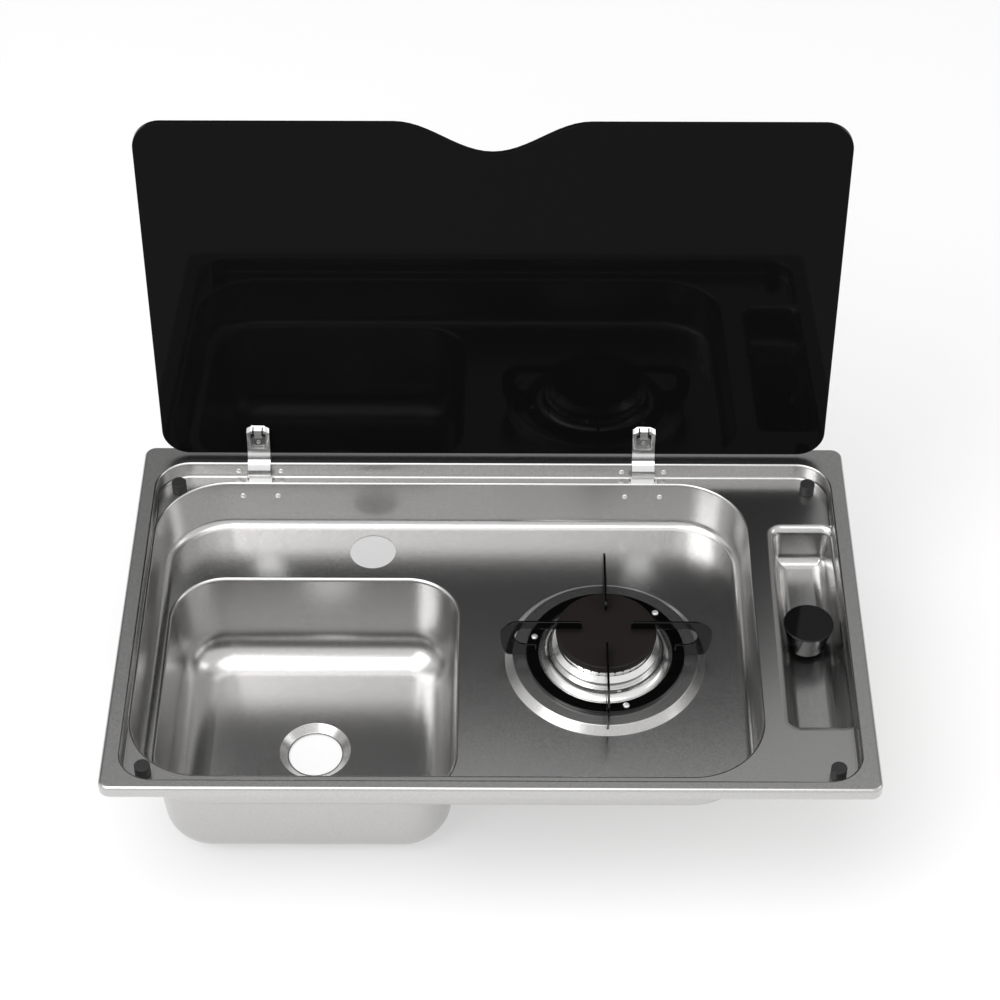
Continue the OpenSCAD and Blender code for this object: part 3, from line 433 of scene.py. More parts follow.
def grained(
    name, colour, roughness, grain, tones=None, polish=None, relief=None, gloss=None, metal=1.0
):
    """Adds a material that varies with one fine noise.

    grain is the noise's scale, detail and stretch. tones and polish are the ends of the colour
    and of the roughness over it, relief the strength and the height in millimetres of a bump.
    """
    MATERIALS[name], tree, shader = new_material(name, grey(colour), metal, roughness)
    noise = object_noise(tree, *grain)
    if gloss is not None:
        shader.inputs["Specular IOR Level"].default_value = gloss
    if tones:
        tree.links.new(ramp(tree, noise, *tones), shader.inputs["Base Color"])
    if polish:
        tree.links.new(ramp(tree, noise, *polish), shader.inputs["Roughness"])
    if relief:
        bump = tree.nodes.new("ShaderNodeBump")
        bump.inputs["Strength"].default_value = relief[0]
        bump.inputs["Distance"].default_value = mm(relief[1])
        tree.links.new(noise, bump.inputs["Height"])
        tree.links.new(bump.outputs["Normal"], shader.inputs["Normal"])


EVEN, SHORT_IN_Z = (1, 1, 1), (1, 1, 6)  # how a grain is stretched
BEST_POLISH = 0.02


def satin_steel(name):
    """Pressed stainless sheet with the fine speckle of its rolled surface."""
    grained(
        name,
        colour=(0.545, 0.54, 0.535),
        roughness=0.22,
        grain=(900, 2, EVEN),
        tones=((0.505, 0.5, 0.495), (0.585, 0.58, 0.575)),
        polish=(0.23, 0.27),
        relief=(0.08, 0.05),
    )


def turned_aluminium(name):
    """Machined casting: its tool marks run round the burner's axis."""
    grained(
        name,
        colour=(0.78, 0.78, 0.77),
        roughness=0.2,
        grain=(700, 2, SHORT_IN_Z),
        polish=(0.16, 0.26),
        relief=(0.08, 0.03),
    )


def plain_metal(name, colour, roughness, spread=0.04):
    polish = (max(roughness - spread, BEST_POLISH), roughness + spread)
    grained(name, colour, roughness, (1500, 2, EVEN), polish=polish, relief=(0.05, 0.02))


def enamel(name, colour, roughness, pits, gloss):
    colour = grey(colour)
    grained(
        name,
        colour,
        roughness,
        grain=(1100, 3, EVEN),
        tones=(colour, [min(1, c * 1.5) for c in colour]),
        polish=(roughness * 0.9, roughness * 1.15),
        relief=(pits, 0.03),
        gloss=gloss,
        metal=0.0,
    )


def black_glass(name):
    """Toughened glass, printed black on its back, with a trace of uneven polish."""
    grained(
        name,
        colour=(0.0036, 0.0036, 0.0038),
        roughness=0.03,
        grain=(30, 2, EVEN),
        polish=(0.025, 0.045),
        gloss=0.05,
        metal=0.0,
    )


def rubber(name):
    grained(
        name,
        colour=0.012,
        roughness=0.55,
        grain=(1800, 2, EVEN),
        tones=(0.008, 0.018),
        relief=(0.2, 0.05),
        metal=0.0,
    )


satin_steel("pressed_steel")
rubber("seal_foam")
rubber("black_rubber")
turned_aluminium("cast_aluminium")
enamel("cap_enamel", (0.007, 0.0052, 0.0046), 0.5, pits=0.25, gloss=0.2)
enamel("support_enamel", 0.0008, 0.08, pits=0.02, gloss=0.4)
enamel("black_gloss_plastic", 0.0036, 0.05, pits=0.02, gloss=0.36)
plain_metal("plated_screws", 0.95, 0.45)
plain_metal("dull_screws", 0.42, 0.3)
plain_metal("plated_steel", (0.6, 0.6, 0.58), 0.3)
plain_metal("clamp_steel", 0.3, 0.22)
plain_metal("chrome", 0.86, 0.08, spread=0.03)
plain_metal("hinge_chrome", 0.8, 0.16)
plain_metal("brass", (0.78, 0.6, 0.28), 0.25)
plain_metal("copper", (0.78, 0.42, 0.27), 0.28)
black_glass("black_glass")


# Pressings


def rim_solid(name, skin, lead):
    """Solid under the rolled rim, from its top down past the worktop's plane by the lead."""
    rings = []
    for i in range(FILLET_STEPS + 1):
        angle = math.pi / 2 * (1 - i / FILLET_STEPS)
        inset = RIM_EDGE - (RIM_EDGE - skin) * math.cos(angle)
        z = RIM_TOP - RIM_EDGE + (RIM_EDGE - skin) * math.sin(angle)
        rings.append(inset_ring(RIM_BOX, RIM_CORNER, inset, z))
    rings.append(inset_ring(RIM_BOX, RIM_CORNER, skin, -lead))
    return loft(name, rings)


def tub_rings(tub, skin, mouth):
    """Rings of a pressed tub: the (inset, height) pairs of its mouth, its edge and its foot.

    Skin 0 is the inner face and SHEET the outer one.
    """
    pairs = list(mouth)
    for i in range(FILLET_STEPS + 1):
        angle = math.pi / 2 * (1 - i / FILLET_STEPS)
        inset = -tub.edge + (tub.edge - skin) * math.cos(angle)
        pairs.append((inset, tub.top - tub.edge + (tub.edge - skin) * math.sin(angle)))
    for i in range(FILLET_STEPS + 1):
        angle = math.pi / 2 * i / FILLET_STEPS
        inset = tub.draft + tub.foot - (tub.foot + skin) * math.cos(angle)
        pairs.append((inset, tub.bottom + tub.foot - (tub.foot + skin) * math.sin(angle)))
    return [inset_ring(tub.box, tub.corner, inset, z) for inset, z in pairs]


def tub_solid(name, skin, lead):
    """Solid of a tub that starts above its mouth by the lead."""
    tub = TUBS[name]
    made = loft("tub_" + name, tub_rings(tub, skin, [(-tub.edge, tub.top + lead)]))
    if name == "tray":
        combine(made, tray_reach(skin), "INTERSECT")
    return made


def tray_reach(skin):
    """Block that ends the tray's rounded edge at the recess wall, which its right side meets."""
    out = 2 * TRAY_EDGE
    low = (TRAY_BOX[0] - out, TRAY_BOX[2] - out, TRAY_FLOOR_Z - PRESS)
    return block("reach", low, (RECESS_BOX[1] + skin, TRAY_BOX[3] + out, RIM_TOP))


def plateau_solid(skin):
    """Raised round seat under the burner, with soft creases at its foot and its edge."""
    foot = FLOOR_Z - SHEET - (2 * CUT if skin else 0)
    profile = [
        (0, PLATEAU_Z - skin),
        (PLATEAU_R - PLATEAU_SLOPE, PLATEAU_Z - skin),
        (PLATEAU_R, FLOOR_Z - skin),
        (PLATEAU_R, foot),
    ]
    return lathe("plateau", rounded(profile, CREASE_OVER) + [(0, foot)], (BURNER.x, BURNER.y, 0))


def deck():
    """The pressing: rim, three tubs, plateau, mouth of the bowl, round holes, hinge slots."""
    made = rim_solid("steel_deck", 0, 0)
    cut(made, rim_solid("hollow", SHEET, CUT))
    for name in ("recess", "basin", "tray"):
        add(made, tub_solid(name, SHEET, -SHEET / 2))
    for name in ("recess", "basin", "tray"):
        cut(made, tub_solid(name, 0, CUT if name == "recess" else PRESS + CUT))
    add(made, plateau_solid(0))
    cut(made, plateau_solid(SHEET))
    levels = (FLOOR_Z + CUT, FLOOR_Z - SHEET - CUT)
    mouth = [inset_ring(BOWL_BOX, BOWL_CORNER, -BOWL_LIP - BOWL_BRIM, z) for z in levels]
    cut(made, loft("opening", mouth))
    holes = (
        (BURNER, BURNER_HOLE_R, PLATEAU_Z),
        (TAP_HOLE, TAP_HOLE_R, FLOOR_Z),
        (middle("knob"), SPINDLE_HOLE_R, TRAY_FLOOR_Z),
    )
    for at, radius, face in holes:
        drill(made, at, radius, face - SHEET - CUT, face + CUT)
    for side in SIDES:
        low = (HINGE_X[side] - SLOT_W / 2, BASIN_BOX[3] + SLOT_EDGE, LEDGE_Z - SHEET - CUT)
        high = (HINGE_X[side] + SLOT_W / 2, AXIS.y - WALL_BACK + CUT, LEDGE_Z + PRESS / 2)
        cut(made, block("slot", low, high))
    smooth(made, angle=28)
    dress(made, "deck", "pressed_steel", "deck_pressing")


def bowl():
    """The deep bowl, with its flat brim and the dish round its drain hole."""
    tub, brim = TUBS["bowl"], -BOWL_LIP - BOWL_BRIM
    made = loft("steel_bowl", tub_rings(tub, SHEET, [(brim, tub.top), (brim, tub.top - SHEET)]))
    place = (DRAIN.x, DRAIN.y, 0)
    seat_r, seat_z = DRAIN_R + DISH_SEAT, BOWL_FLOOR_Z - DISH_DEPTH
    under = [
        (0, BOWL_FLOOR_Z - SHEET / 2),
        (DISH_R, BOWL_FLOOR_Z - SHEET / 2),
        (DISH_R, BOWL_FLOOR_Z - SHEET),
        (seat_r, seat_z - SHEET),
        (0, seat_z - SHEET),
    ]
    over = [
        (0, BOWL_FLOOR_Z + CUT),
        (DISH_R + DISH_EDGE, BOWL_FLOOR_Z + CUT),
        (DISH_R + DISH_EDGE, BOWL_FLOOR_Z),
        (DISH_R, BOWL_FLOOR_Z),
        (seat_r, seat_z),
        (0, seat_z),
    ]
    add(made, lathe("dish", rounded(under, CREASE_UNDER), place))
    cut(made, tub_solid("bowl", 0, CUT))
    cut(made, lathe("dish_hollow", rounded(over, CREASE_OVER), place))
    drill(made, DRAIN, DRAIN_R, seat_z - SHEET - CUT, BOWL_FLOOR_Z)
    smooth(made, angle=28)
    dress(made, "deck", "pressed_steel", "sink_bowl")


# Burner. Its outlines are (radius, height) in millimetres, from the plateau or from the cap's top.

BASE_OUTLINE = (
    [(8, -20), (40, -20), (40, 0), (54, 0)]
    + arc(54, 9, 7.8, 8, -90, -172, 10)
    + [(46.2, 8), (37.5, 8), (37.5, -17.5), (8, -17.5), (8, -20)]
)
HEAD_OUTLINE = (
    [(11, -8), (13.5, -8), (13.5, 8), (34.7, 8), (34.7, 4), (37.2, 4), (37.2, 8.02)]
    + [(44, 8.02), (44, 13.5), (40, 17.5), (38, 17.5), (38, 22.5)]
    + [(33, 22.5), (33, 10.5), (11, 10.5), (11, -8)]
)
CAP_OUTLINE = (
    [(0, -6.5), (30.2, -6.5), (30.2, -9), (32.7, -9), (32.7, -6.5)]
    + [(40.4, -6.5), (41.4, -1.5), (40.9, -0.4), (39.4, 0), (20, 0), (0, 0)]
)
PORTS = 36
PORT_W, PORT_LOW, PORT_HIGH, PORT_REACH = mm(1.6), mm(18.5), mm(30), mm(42)
BURNER_SOFTENING, SUPPORT_SOFTENING = mm(0.5), mm(0.7)


def on_burner(name, profile, softening, z):
    """Piece turned about the burner's axis."""
    return lathe(name, rounded(profile, softening), (BURNER.x, BURNER.y, z))


def burner_turn(angle):
    """From the middle of the plateau, turned by an angle, to the part's frame."""
    seat = Matrix.Translation((BURNER.x, BURNER.y, PLATEAU_Z))
    return seat @ Matrix.Rotation(angle, 4, "Z")


def burner():
    """Base, head with its ring of flame ports, and cap."""
    base = on_burner("burner_base_turned", mm_pairs(BASE_OUTLINE), BURNER_SOFTENING, PLATEAU_Z)
    smooth(base)
    dress(base, "deck", "cast_aluminium", "burner_base")

    head = on_burner("burner_head_turned", mm_pairs(HEAD_OUTLINE), BURNER_SOFTENING, PLATEAU_Z)
    for i in range(PORTS // 2):
        low, high = (-PORT_REACH, -PORT_W / 2, PORT_LOW), (PORT_REACH, PORT_W / 2, PORT_HIGH)
        tool = block("port", low, high)
        tool.data.transform(burner_turn(2 * math.pi * i / PORTS))
        cut(head, tool)
    smooth(head)
    dress(head, "deck", "cast_aluminium", "burner_head")

    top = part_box("burner_cap")[1].z
    cap = on_burner("burner_cap_turned", mm_pairs(CAP_OUTLINE), BURNER_SOFTENING, top)
    smooth(cap, angle=40)
    dress(cap, "deck", "cap_enamel", "burner_cap")


# Pan support, its arms in millimetres from the burner's axis and above the plateau

RING_INNER_R = mm(55.2)
SUPPORT_T = 2
TIP, TIP_BEVEL, BULGE = 20, 2, 87  # where an arm ends towards the axis, and its outermost line
SUPPORT_TOP, SUPPORT_BAR = 39.5, 8  # height and depth of the bar that carries the pan
WAIST, STEP = 23, 12  # height of the outermost line, and of the foot's inner end
SHOULDER, FOOT, ELBOW_R = BULGE - 17, BULGE - 8, 9  # centres of the outer arcs, inner radius
SEAT, SEAT_Z, GAP = 57.3, 3, 65.7  # the foot lies on the ring from SEAT to GAP


def pan_ring():
    low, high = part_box("pan_support_ring")
    outer, top = (high.x - low.x) / 2, high.z - low.z
    profile = [(RING_INNER_R, 0), (RING_INNER_R, top), (outer, top), (outer, 0), (RING_INNER_R, 0)]
    made = on_burner("pan_ring", profile, SUPPORT_SOFTENING, PLATEAU_Z)
    smooth(made)
    dress(made, "deck", "support_enamel", "pan_support_ring")


def pan_arms():
    """Four upright plates, each a C with a foot on the ring, rounded at its edges."""
    under, elbow = SUPPORT_TOP - SUPPORT_BAR, SHOULDER - 4
    outline = [(TIP, under), (elbow, under)]
    outline += arc(elbow, (under + STEP) / 2, ELBOW_R, (under - STEP) / 2, 90, -90)
    outline += [(SEAT, STEP), (SEAT, SEAT_Z), (GAP, SEAT_Z), (GAP, 0)]
    outline += arc(FOOT, WAIST, BULGE - FOOT, WAIST, -90, 0)
    outline += arc(SHOULDER, WAIST, BULGE - SHOULDER, SUPPORT_TOP - WAIST, 0, 90)
    outline += [(TIP + TIP_BEVEL, SUPPORT_TOP), (TIP, SUPPORT_TOP - TIP_BEVEL)]
    for turn, name in enumerate(("right", "back", "left", "front")):
        place = burner_turn(math.pi / 2 * turn)
        made = plate("pan_arm_plate_" + name, outline, SUPPORT_T, place)
        smooth(made, angle=40, bevel=mm(0.35), segments=3)
        dress(made, "deck", "support_enamel", "pan_arm_" + name)


# Knob and bumpers

KNOB_FOOT_R, KNOB_WALL, KNOB_HOLLOW, KNOB_EDGE = mm(14.75), mm(2.5), mm(6), mm(0.8)
KNOB_BORE_R, KNOB_BOSS_R, KNOB_BOSS_Z = mm(4.02), mm(6.5), mm(0.6)
KNOB_SOFTENING, BUMPER_SOFTENING = mm(0.6), mm(1)
BUMPER_FLAT = 0.8  # share of its radius that is flat on top
BUMPER_STEM = [(0, -4.8), (1.45, -4.8), (3.4, -1.4), (3.4, -0.8), (2.45, -0.8), (2.45, 0)]


def knob():
    """Hollow knob, wider at its top, with a boss for the spindle."""
    low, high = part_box("knob")
    top, height = (high.x - low.x) / 2, high.z - low.z
    profile = [
        (KNOB_BORE_R, KNOB_BOSS_Z),
        (KNOB_BOSS_R, KNOB_BOSS_Z),
        (KNOB_BOSS_R, KNOB_HOLLOW),
        (KNOB_FOOT_R - KNOB_WALL, KNOB_HOLLOW),
        (KNOB_FOOT_R - KNOB_WALL, 0),
        (KNOB_FOOT_R, 0),
        (top, height - KNOB_EDGE),
        (top - KNOB_EDGE / 2, height),
        (0, height),
    ]
    centre = ((low.x + high.x) / 2, (low.y + high.y) / 2, low.z)
    made = lathe("control_knob", rounded(profile, KNOB_SOFTENING), centre)
    smooth(made, angle=40)
    dress(made, "control", "black_gloss_plastic", "knob")


def bumpers():
    """Rubber studs in the ledge, each on a barbed stem."""
    for end in ("front", "back"):
        for side in SIDES:
            node = f"bumper_{end}_{side}"
            low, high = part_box(node)
            r, h = (high.x - low.x) / 2, high.z - LEDGE_Z
            profile = mm_pairs(BUMPER_STEM) + [(r, 0), (r, h), (r * BUMPER_FLAT, h), (0, h)]
            centre = ((low.x + high.x) / 2, (low.y + high.y) / 2, LEDGE_Z)
            soft = rounded(profile, BUMPER_SOFTENING)
            made = lathe(f"rubber_{end}_{side}", soft, centre, BUMPER_STEPS)
            smooth(made, angle=50)
            dress(made, "deck", "black_rubber", node)


# Screws. A screw's size is its head radius, head height and shank length, in millimetres.

HINGE_SCREW, CLAMP_SCREW = (2.3, 0.9, 3.8), (1.9, 0.8, 0.4)
SHANK_R = mm(1.45)
HEAD_WALL = 0.3  # share of the head's height below its dome
UPPER_SCREW, LOWER_SCREW = mm((18, -1)), mm((15, -21))  # aside of the arm, above the axis


def screw_heads(name, body, node, places, size, material):
    """Domed screws as one piece, each seated on z = 0 of its place."""
    radius, height, length = mm(size)
    wall = height * HEAD_WALL
    profile = [(0, -length), (SHANK_R, -length), (SHANK_R, 0), (radius, 0), (radius, wall)]
    for angle in range(10, 90, 10):  # the dome, up from the wall
        turn = math.radians(angle)
        level = HEAD_WALL + (1 - HEAD_WALL) * math.sin(turn)
        profile.append((radius * math.cos(turn), height * level))
    made = None
    for place in places:
        screw = lathe(name, profile + [(0, height)], steps=SCREW_STEPS)
        screw.data.transform(place)
        if made:
            add(made, screw)
        else:
            made = screw
    smooth(made, angle=50)
    dress(made, body, "plated_screws", node, finish=material)


def hinge_screws():
    """Two screws of each bracket in the recess wall, and two in the sloping basin wall."""
    top, foot = LEDGE_Z - PRESS, FLOOR_Z + BASIN_FOOT
    upper_z, lower_z = AXIS.z + UPPER_SCREW[1], AXIS.z + LOWER_SCREW[1]
    lower_y = BASIN_BOX[3] - BASIN_DRAFT * (top - lower_z) / (top - foot)
    slope = math.atan(BASIN_DRAFT / (top - foot))
    rows = (
        (UPPER_SCREW[0], RECESS_BOX[3], upper_z, 0),
        (LOWER_SCREW[0], lower_y, lower_z, slope),
    )
    places = []
    for side in SIDES:
        for way in (-1, 1):
            for aside, y, z, tilt in rows:
                seat = Matrix.Translation((HINGE_X[side] + way * aside, y, z))
                places.append(seat @ Matrix.Rotation(math.pi / 2 - tilt, 4, "X"))
    name, node = "hinge_screws_domed", "hinge_screws"
    screw_heads(name, "deck", node, places, HINGE_SCREW, "plated_screws")


# Lid. Its pieces are drawn closed, in millimetres and degrees: Y runs along the glass from the
# hinge axis and Z up through it.

ARM_W, LEAF_T = 19.2, 1.5
CURL_R, CURL_FROM = 9.8, 205  # the curl round the recess wall
WEB_T, WEB_ANGLE, EYE_R = 2, 246, 3.5  # the web from the curl to the eye round the hinge pin
PLATE_TOP, BODY_RISE = 2, 2.3  # the clamp's face on the pads, and its depth beyond the leaf
CLAMP_FRONT, CLAMP_BEVEL, CLAMP_BODY = -42, 2.5, 22.6
FLARE_L, FLARE_OUT = 3.6, 1.7
CORNER_IN, CORNER_TURN, CORNER_LEAN = 2.3, 32, 30  # the leaning cuts off the clamp's corners
HEEL, JAW_LOW, JAW_T, JAW_L = -11.4, 8, 1.2, 14  # the jaw round the back edge of the glass
POCKET_X, POCKET_Y, POCKET_R, POCKET_Z = 6.4, (-31.2, -20.2), 3.2, 1.4
TONGUE_X, TONGUE_TOP = 3.1, -36.4
GROOVE_X, GROOVE_ENDS, GROOVE_Z = (3.2, 4.6), (0.6, 1), 2.2
CLAMP_PLATE_GAP, CLAMP_PLATE_LOW, CLAMP_PLATE_SUNK = 0.2, 0.8, 0.02
CLAMP_SCREW_Z = 0.78
PAD_T, GLASS_T = 0.5, 5

GLASS_CORNER, GLASS_FRONT_GAP, GLASS_BACK = mm(23), mm(7.6), mm(-11.8)
NOTCH_HALF, NOTCH_DEPTH = mm(77.5), mm(27.5)


def lid_place(x):
    """From the closed lid's drawing to the open lid."""
    return Matrix.Translation((x, AXIS.y, AXIS.z)) @ Matrix.Rotation(-OPEN, 4, "X")


def arm_outline():
    """The bent strip: body, flare, curl round the recess wall, web, eye, and jaw."""
    body, out = PLATE_TOP - LEAF_T - BODY_RISE, CURL_R + LEAF_T
    web = WEB_ANGLE + math.degrees(OPEN)
    eye, root = (math.degrees(math.asin(WEB_T / 2 / r)) for r in (EYE_R, CURL_R))
    curl_end = 180 - math.degrees(math.asin(PLATE_TOP / CURL_R))
    foot = CLAMP_FRONT + CLAMP_BODY
    points = [(CLAMP_FRONT, PLATE_TOP), (CLAMP_FRONT + CLAMP_BEVEL, body)]
    points += [(foot, body), (foot + FLARE_L, body - FLARE_OUT)]
    points += arc(0, 0, out, out, CURL_FROM, web + root, CURL_STEPS)
    points += arc(0, 0, EYE_R, EYE_R, web + eye, web + 360 - eye, EYE_STEPS)
    points += arc(0, 0, CURL_R, CURL_R, web - root, curl_end, CURL_STEPS)
    points += [(HEEL + LEAF_T, PLATE_TOP), (HEEL + LEAF_T, JAW_LOW + JAW_T)]
    points += [(HEEL - JAW_L, JAW_LOW + JAW_T), (HEEL - JAW_L, JAW_LOW)]
    return points + [(HEEL, JAW_LOW), (HEEL, PLATE_TOP)]


def pocket_ring(gap, z):
    """Outline of the clamp's pocket, or of what lies in it with a gap all round."""
    box = (gap - POCKET_X, POCKET_X - gap, POCKET_Y[0] + gap, POCKET_Y[1] - gap)
    return box_ring(mm(box), mm(POCKET_R - gap), z)


def hinge_arm(side):
    """The strip with the pocket, the two channels beside its tongue, and its cut corners."""
    turned = Matrix.Rotation(math.pi / 2, 4, "Z")
    made = plate("hinge_arm_formed_" + side, arm_outline(), ARM_W, turned)
    under = mm(PLATE_TOP - LEAF_T - BODY_RISE) - CUT
    cut(made, loft("pocket", [pocket_ring(0, z) for z in (mm(POCKET_Z), under)]))
    groove_y = (CLAMP_FRONT + GROOVE_ENDS[0], TONGUE_TOP + GROOVE_ENDS[1])
    channels = (
        ((TONGUE_X, POCKET_X), (TONGUE_TOP, POCKET_Y[0] + POCKET_R)),
        (GROOVE_X, groove_y),
    )
    reach = mm(10)  # well past a corner of the clamp
    for way in (-1, 1):
        for x, y in channels:
            left, right = sorted(way * v for v in x)
            low, high = (mm(left), mm(y[0]), under), (mm(right), mm(y[1]), mm(GROOVE_Z))
            cut(made, block("channel", low, high))
        corner = block("corner", (0, -reach, -reach), (reach, reach, reach))
        corner.data.transform(
            Matrix.Translation(mm([way * ARM_W / 2, CLAMP_FRONT, PLATE_TOP]))
            @ Matrix.Rotation(math.radians(way * CORNER_TURN - 90), 4, "Z")
            @ Matrix.Translation(mm([-CORNER_IN, 0, 0]))
            @ Matrix.Rotation(math.radians(CORNER_LEAN), 4, "Y")
        )
        cut(made, corner)
    made.data.transform(lid_place(HINGE_X[side]))
    smooth(made, angle=30, bevel=mm(0.25))
    dress(made, "lid", "chrome", "hinge_arm_" + side, finish="hinge_chrome")


def clamp_plate(side):
    """Small plate under the clamp's screw, in the pocket."""
    levels = (mm(POCKET_Z - CLAMP_PLATE_SUNK), mm(CLAMP_PLATE_LOW))
    rings = [pocket_ring(CLAMP_PLATE_GAP, z) for z in levels]
    made = loft(f"clamp_plate_{side}_rounded", rings)
    made.data.transform(lid_place(HINGE_X[side]))
    smooth(made, angle=30, bevel=mm(0.15))
    dress(made, "lid", "clamp_steel", "clamp_plate_" + side)


def clamp_screws():
    seat = Matrix.Translation(mm((0, sum(POCKET_Y) / 2, CLAMP_SCREW_Z)))
    facing_down = Matrix.Rotation(math.pi, 4, "X")
    places = [lid_place(HINGE_X[side]) @ seat @ facing_down for side in SIDES]
    name, node = "clamp_screws_domed", "clamp_screws"
    screw_heads(name, "lid", node, places, CLAMP_SCREW, "dull_screws")


def lid_glass():
    """Rounded pane with a cosine-shaped finger notch in its front edge."""
    left, right, _, _ = plan("lid_glass")
    front = RECESS_BOX[2] + GLASS_FRONT_GAP - AXIS.y
    ring = box_ring((left, right, front, GLASS_BACK), GLASS_CORNER, 0)
    notch = []
    for i in range(NOTCH_STEPS + 1):
        x = NOTCH_HALF * (2 * i / NOTCH_STEPS - 1)
        y = front + NOTCH_DEPTH * (1 + math.cos(math.pi * x / NOTCH_HALF)) / 2
        notch.append((x, y, 0))
    split = 3 * (CORNER_STEPS + 1)
    outline = ring[:split] + notch + ring[split:]
    levels = (mm(PLATE_TOP + PAD_T + GLASS_T), mm(PLATE_TOP + PAD_T))
    made = loft("lid_glass_ground", [[(x, y, z) for x, y, _ in outline] for z in levels])
    made.data.transform(lid_place(0))
    smooth(made, angle=32, bevel=mm(0.6), segments=3)
    dress(made, "lid", "black_glass", "lid_glass")


def lid():
    for side in SIDES:
        hinge_arm(side)
        clamp_plate(side)
    clamp_screws()
    lid_glass()


def carried_nodes():
    """Finish of every CAD node, and smooth faces for those that are shown as they are."""
    slots = {part["node"]: part["material_slot"] for part in frame["record"]["subparts"]}
    for name, node in frame["nodes"].items():
        node.data.materials.clear()
        node.data.materials.append(MATERIALS[slots[name]])
        if not node.hide_render:
            for face in node.data.polygons:
                face.use_smooth = True
            node.data.set_sharp_from_angle(angle=math.radians(30))


# Stage, light and camera

FLOOR_HALF, FLOOR_DROP = 6, mm(1)
PAPER_WHITE = 0.95
FLOOR_GLOW = 0.4  # share of plain white in what the camera, metal and glass see of the floor

# Softboxes aimed at the middle of the deck: place, size in metres, level
SOFTBOXES = {
    "light_top": ((-0.2, -0.22, 2.0), (1.6, 1.14), 1.95),
    "light_key": ((-1.153, -0.923, 1.854), (1.3, 1.45), 3.6),
    "light_right": ((1.9, 0.2, 1.3), (0.6, 1.0), 1.5),
}

# The world behind the part: where each ramp starts and ends, along the direction's X, Y or Z
ACROSS, LOW_BACK = (0.35, 0.6), (0.19, 0.3)
OVERHEAD, DEPTH, HORIZON = (0.74, 0.97), (0.0, 0.4), (0.0, 0.12)

CAMERA_PLACE = mm((12.971, -1401.351, 1554.442))
CAMERA_PITCH, CAMERA_YAW = 45.377, -0.261
FOCAL, SENSOR, CLIP = 92.414, 36, (0.01, 50)


def math_node(tree, operation, *values):
    """Result of an operation on other nodes' values, or on those and a number."""
    node = tree.nodes.new("ShaderNodeMath")
    node.operation = operation
    for socket, value in zip(node.inputs, values):
        if isinstance(value, float):
            socket.default_value = value
        else:
            tree.links.new(value, socket)
    return node.outputs["Value"]


COLOUR_A, COLOUR_B, COLOUR_RESULT = 6, 7, 2  # a mix node's colour sockets, which share names


def blend(tree, share, low, high):
    """Colour between a fixed one and another node's, by a share from 0 to 1."""
    mix = tree.nodes.new("ShaderNodeMix")
    mix.data_type = "RGBA"
    tree.links.new(share, mix.inputs["Factor"])
    mix.inputs[COLOUR_A].default_value = low
    tree.links.new(high, mix.inputs[COLOUR_B])
    return mix.outputs[COLOUR_RESULT]


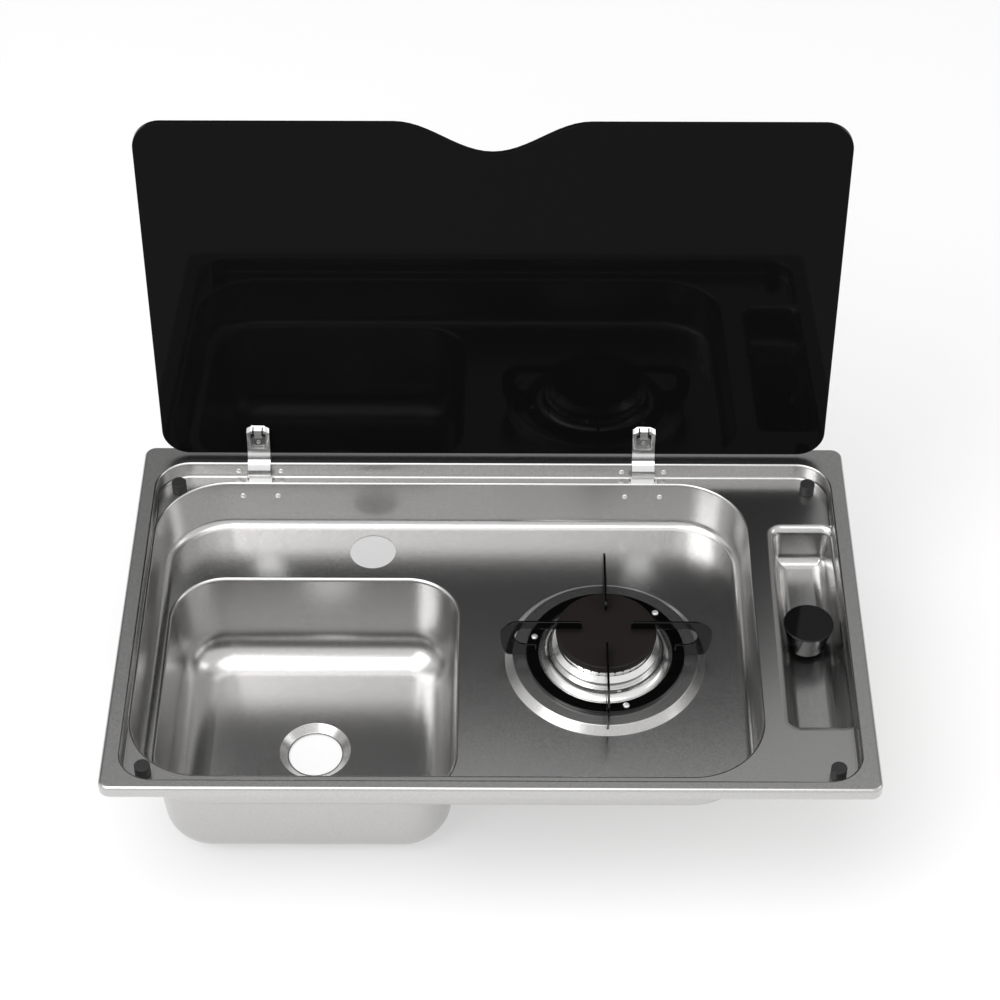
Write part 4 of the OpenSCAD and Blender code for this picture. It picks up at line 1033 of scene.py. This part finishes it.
def stage():
    """Floor just under the bowl that keeps the part's shadow, with a share of plain white."""
    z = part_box("sink_bowl")[0].z - FLOOR_DROP
    around = ((-1, -1), (1, -1), (1, 1), (-1, 1))
    corners = [(x * FLOOR_HALF, y * FLOOR_HALF, z) for x, y in around]
    floor = mesh_object("floor", corners, [(0, 1, 2, 3)])
    paper = grey(PAPER_WHITE)
    material, tree, shader = new_material("floor_white", paper, metallic=0.0, roughness=0.9)
    shader.inputs["Specular IOR Level"].default_value = 0.0
    white = tree.nodes.new("ShaderNodeEmission")
    white.inputs["Strength"].default_value = 1.0
    path = tree.nodes.new("ShaderNodeLightPath").outputs
    seen = math_node(tree, "MAXIMUM", path["Is Camera Ray"], path["Is Glossy Ray"])
    seen = math_node(tree, "MAXIMUM", seen, path["Is Transmission Ray"])
    mix = tree.nodes.new("ShaderNodeMixShader")
    tree.links.new(math_node(tree, "MULTIPLY", seen, FLOOR_GLOW), mix.inputs["Fac"])
    tree.links.new(shader.outputs["BSDF"], mix.inputs[1])
    tree.links.new(white.outputs["Emission"], mix.inputs[2])
    tree.links.new(mix.outputs["Shader"], tree.nodes["Material Output"].inputs["Surface"])
    floor.data.materials.append(material)


def softbox(name, place, size, level):
    """Rectangular lamp; level 1 looks as bright as white paper does."""
    data = bpy.data.lights.new(name, "AREA")
    data.shape = "RECTANGLE"
    data.size, data.size_y = size
    data.energy = level * math.pi * size[0] * size[1]
    made = bpy.data.objects.new(name, data)
    made.location = place
    made.rotation_euler = (-Vector(place)).to_track_quat("-Z", "Y").to_euler()
    bpy.context.scene.collection.objects.link(made)


def world():
    """Pale surroundings that darken towards the back, from the horizon up to overhead."""
    made = bpy.data.worlds.new("studio")
    made.use_nodes = True
    bpy.context.scene.world = made
    tree = made.node_tree
    where = tree.nodes.new("ShaderNodeTexCoord")
    split = tree.nodes.new("ShaderNodeSeparateXYZ")
    tree.links.new(where.outputs["Generated"], split.inputs["Vector"])
    x, y, z = (split.outputs[axis] for axis in "XYZ")
    pale = (*grey(PAPER_WHITE), 1)
    low_back = ramp(tree, math_node(tree, "ADD", x, 0.5), *LOW_BACK, ACROSS)
    back = blend(tree, ramp(tree, z, 1.0, 0.0, OVERHEAD), pale, low_back)
    upper = blend(tree, ramp(tree, y, 0.0, 1.0, DEPTH), pale, back)
    whole = blend(tree, ramp(tree, z, 0.0, 1.0, HORIZON), pale, upper)
    tree.links.new(whole, tree.nodes["Background"].inputs["Color"])


def camera():
    data = bpy.data.cameras.new("camera")
    data.lens = FOCAL
    data.sensor_width = SENSOR
    data.clip_start, data.clip_end = CLIP
    made = bpy.data.objects.new("camera", data)
    made.location = CAMERA_PLACE
    made.rotation_euler = (math.radians(90 - CAMERA_PITCH), 0, math.radians(-CAMERA_YAW))
    bpy.context.scene.collection.objects.link(made)
    bpy.context.scene.camera = made


deck()
bowl()
burner()
pan_ring()
pan_arms()
knob()
bumpers()
hinge_screws()
lid()
carried_nodes()
stage()
for name, (place, size, level) in SOFTBOXES.items():
    softbox(name, place, size, level)
world()
camera()
bpy.context.scene.view_settings.view_transform = "Standard"
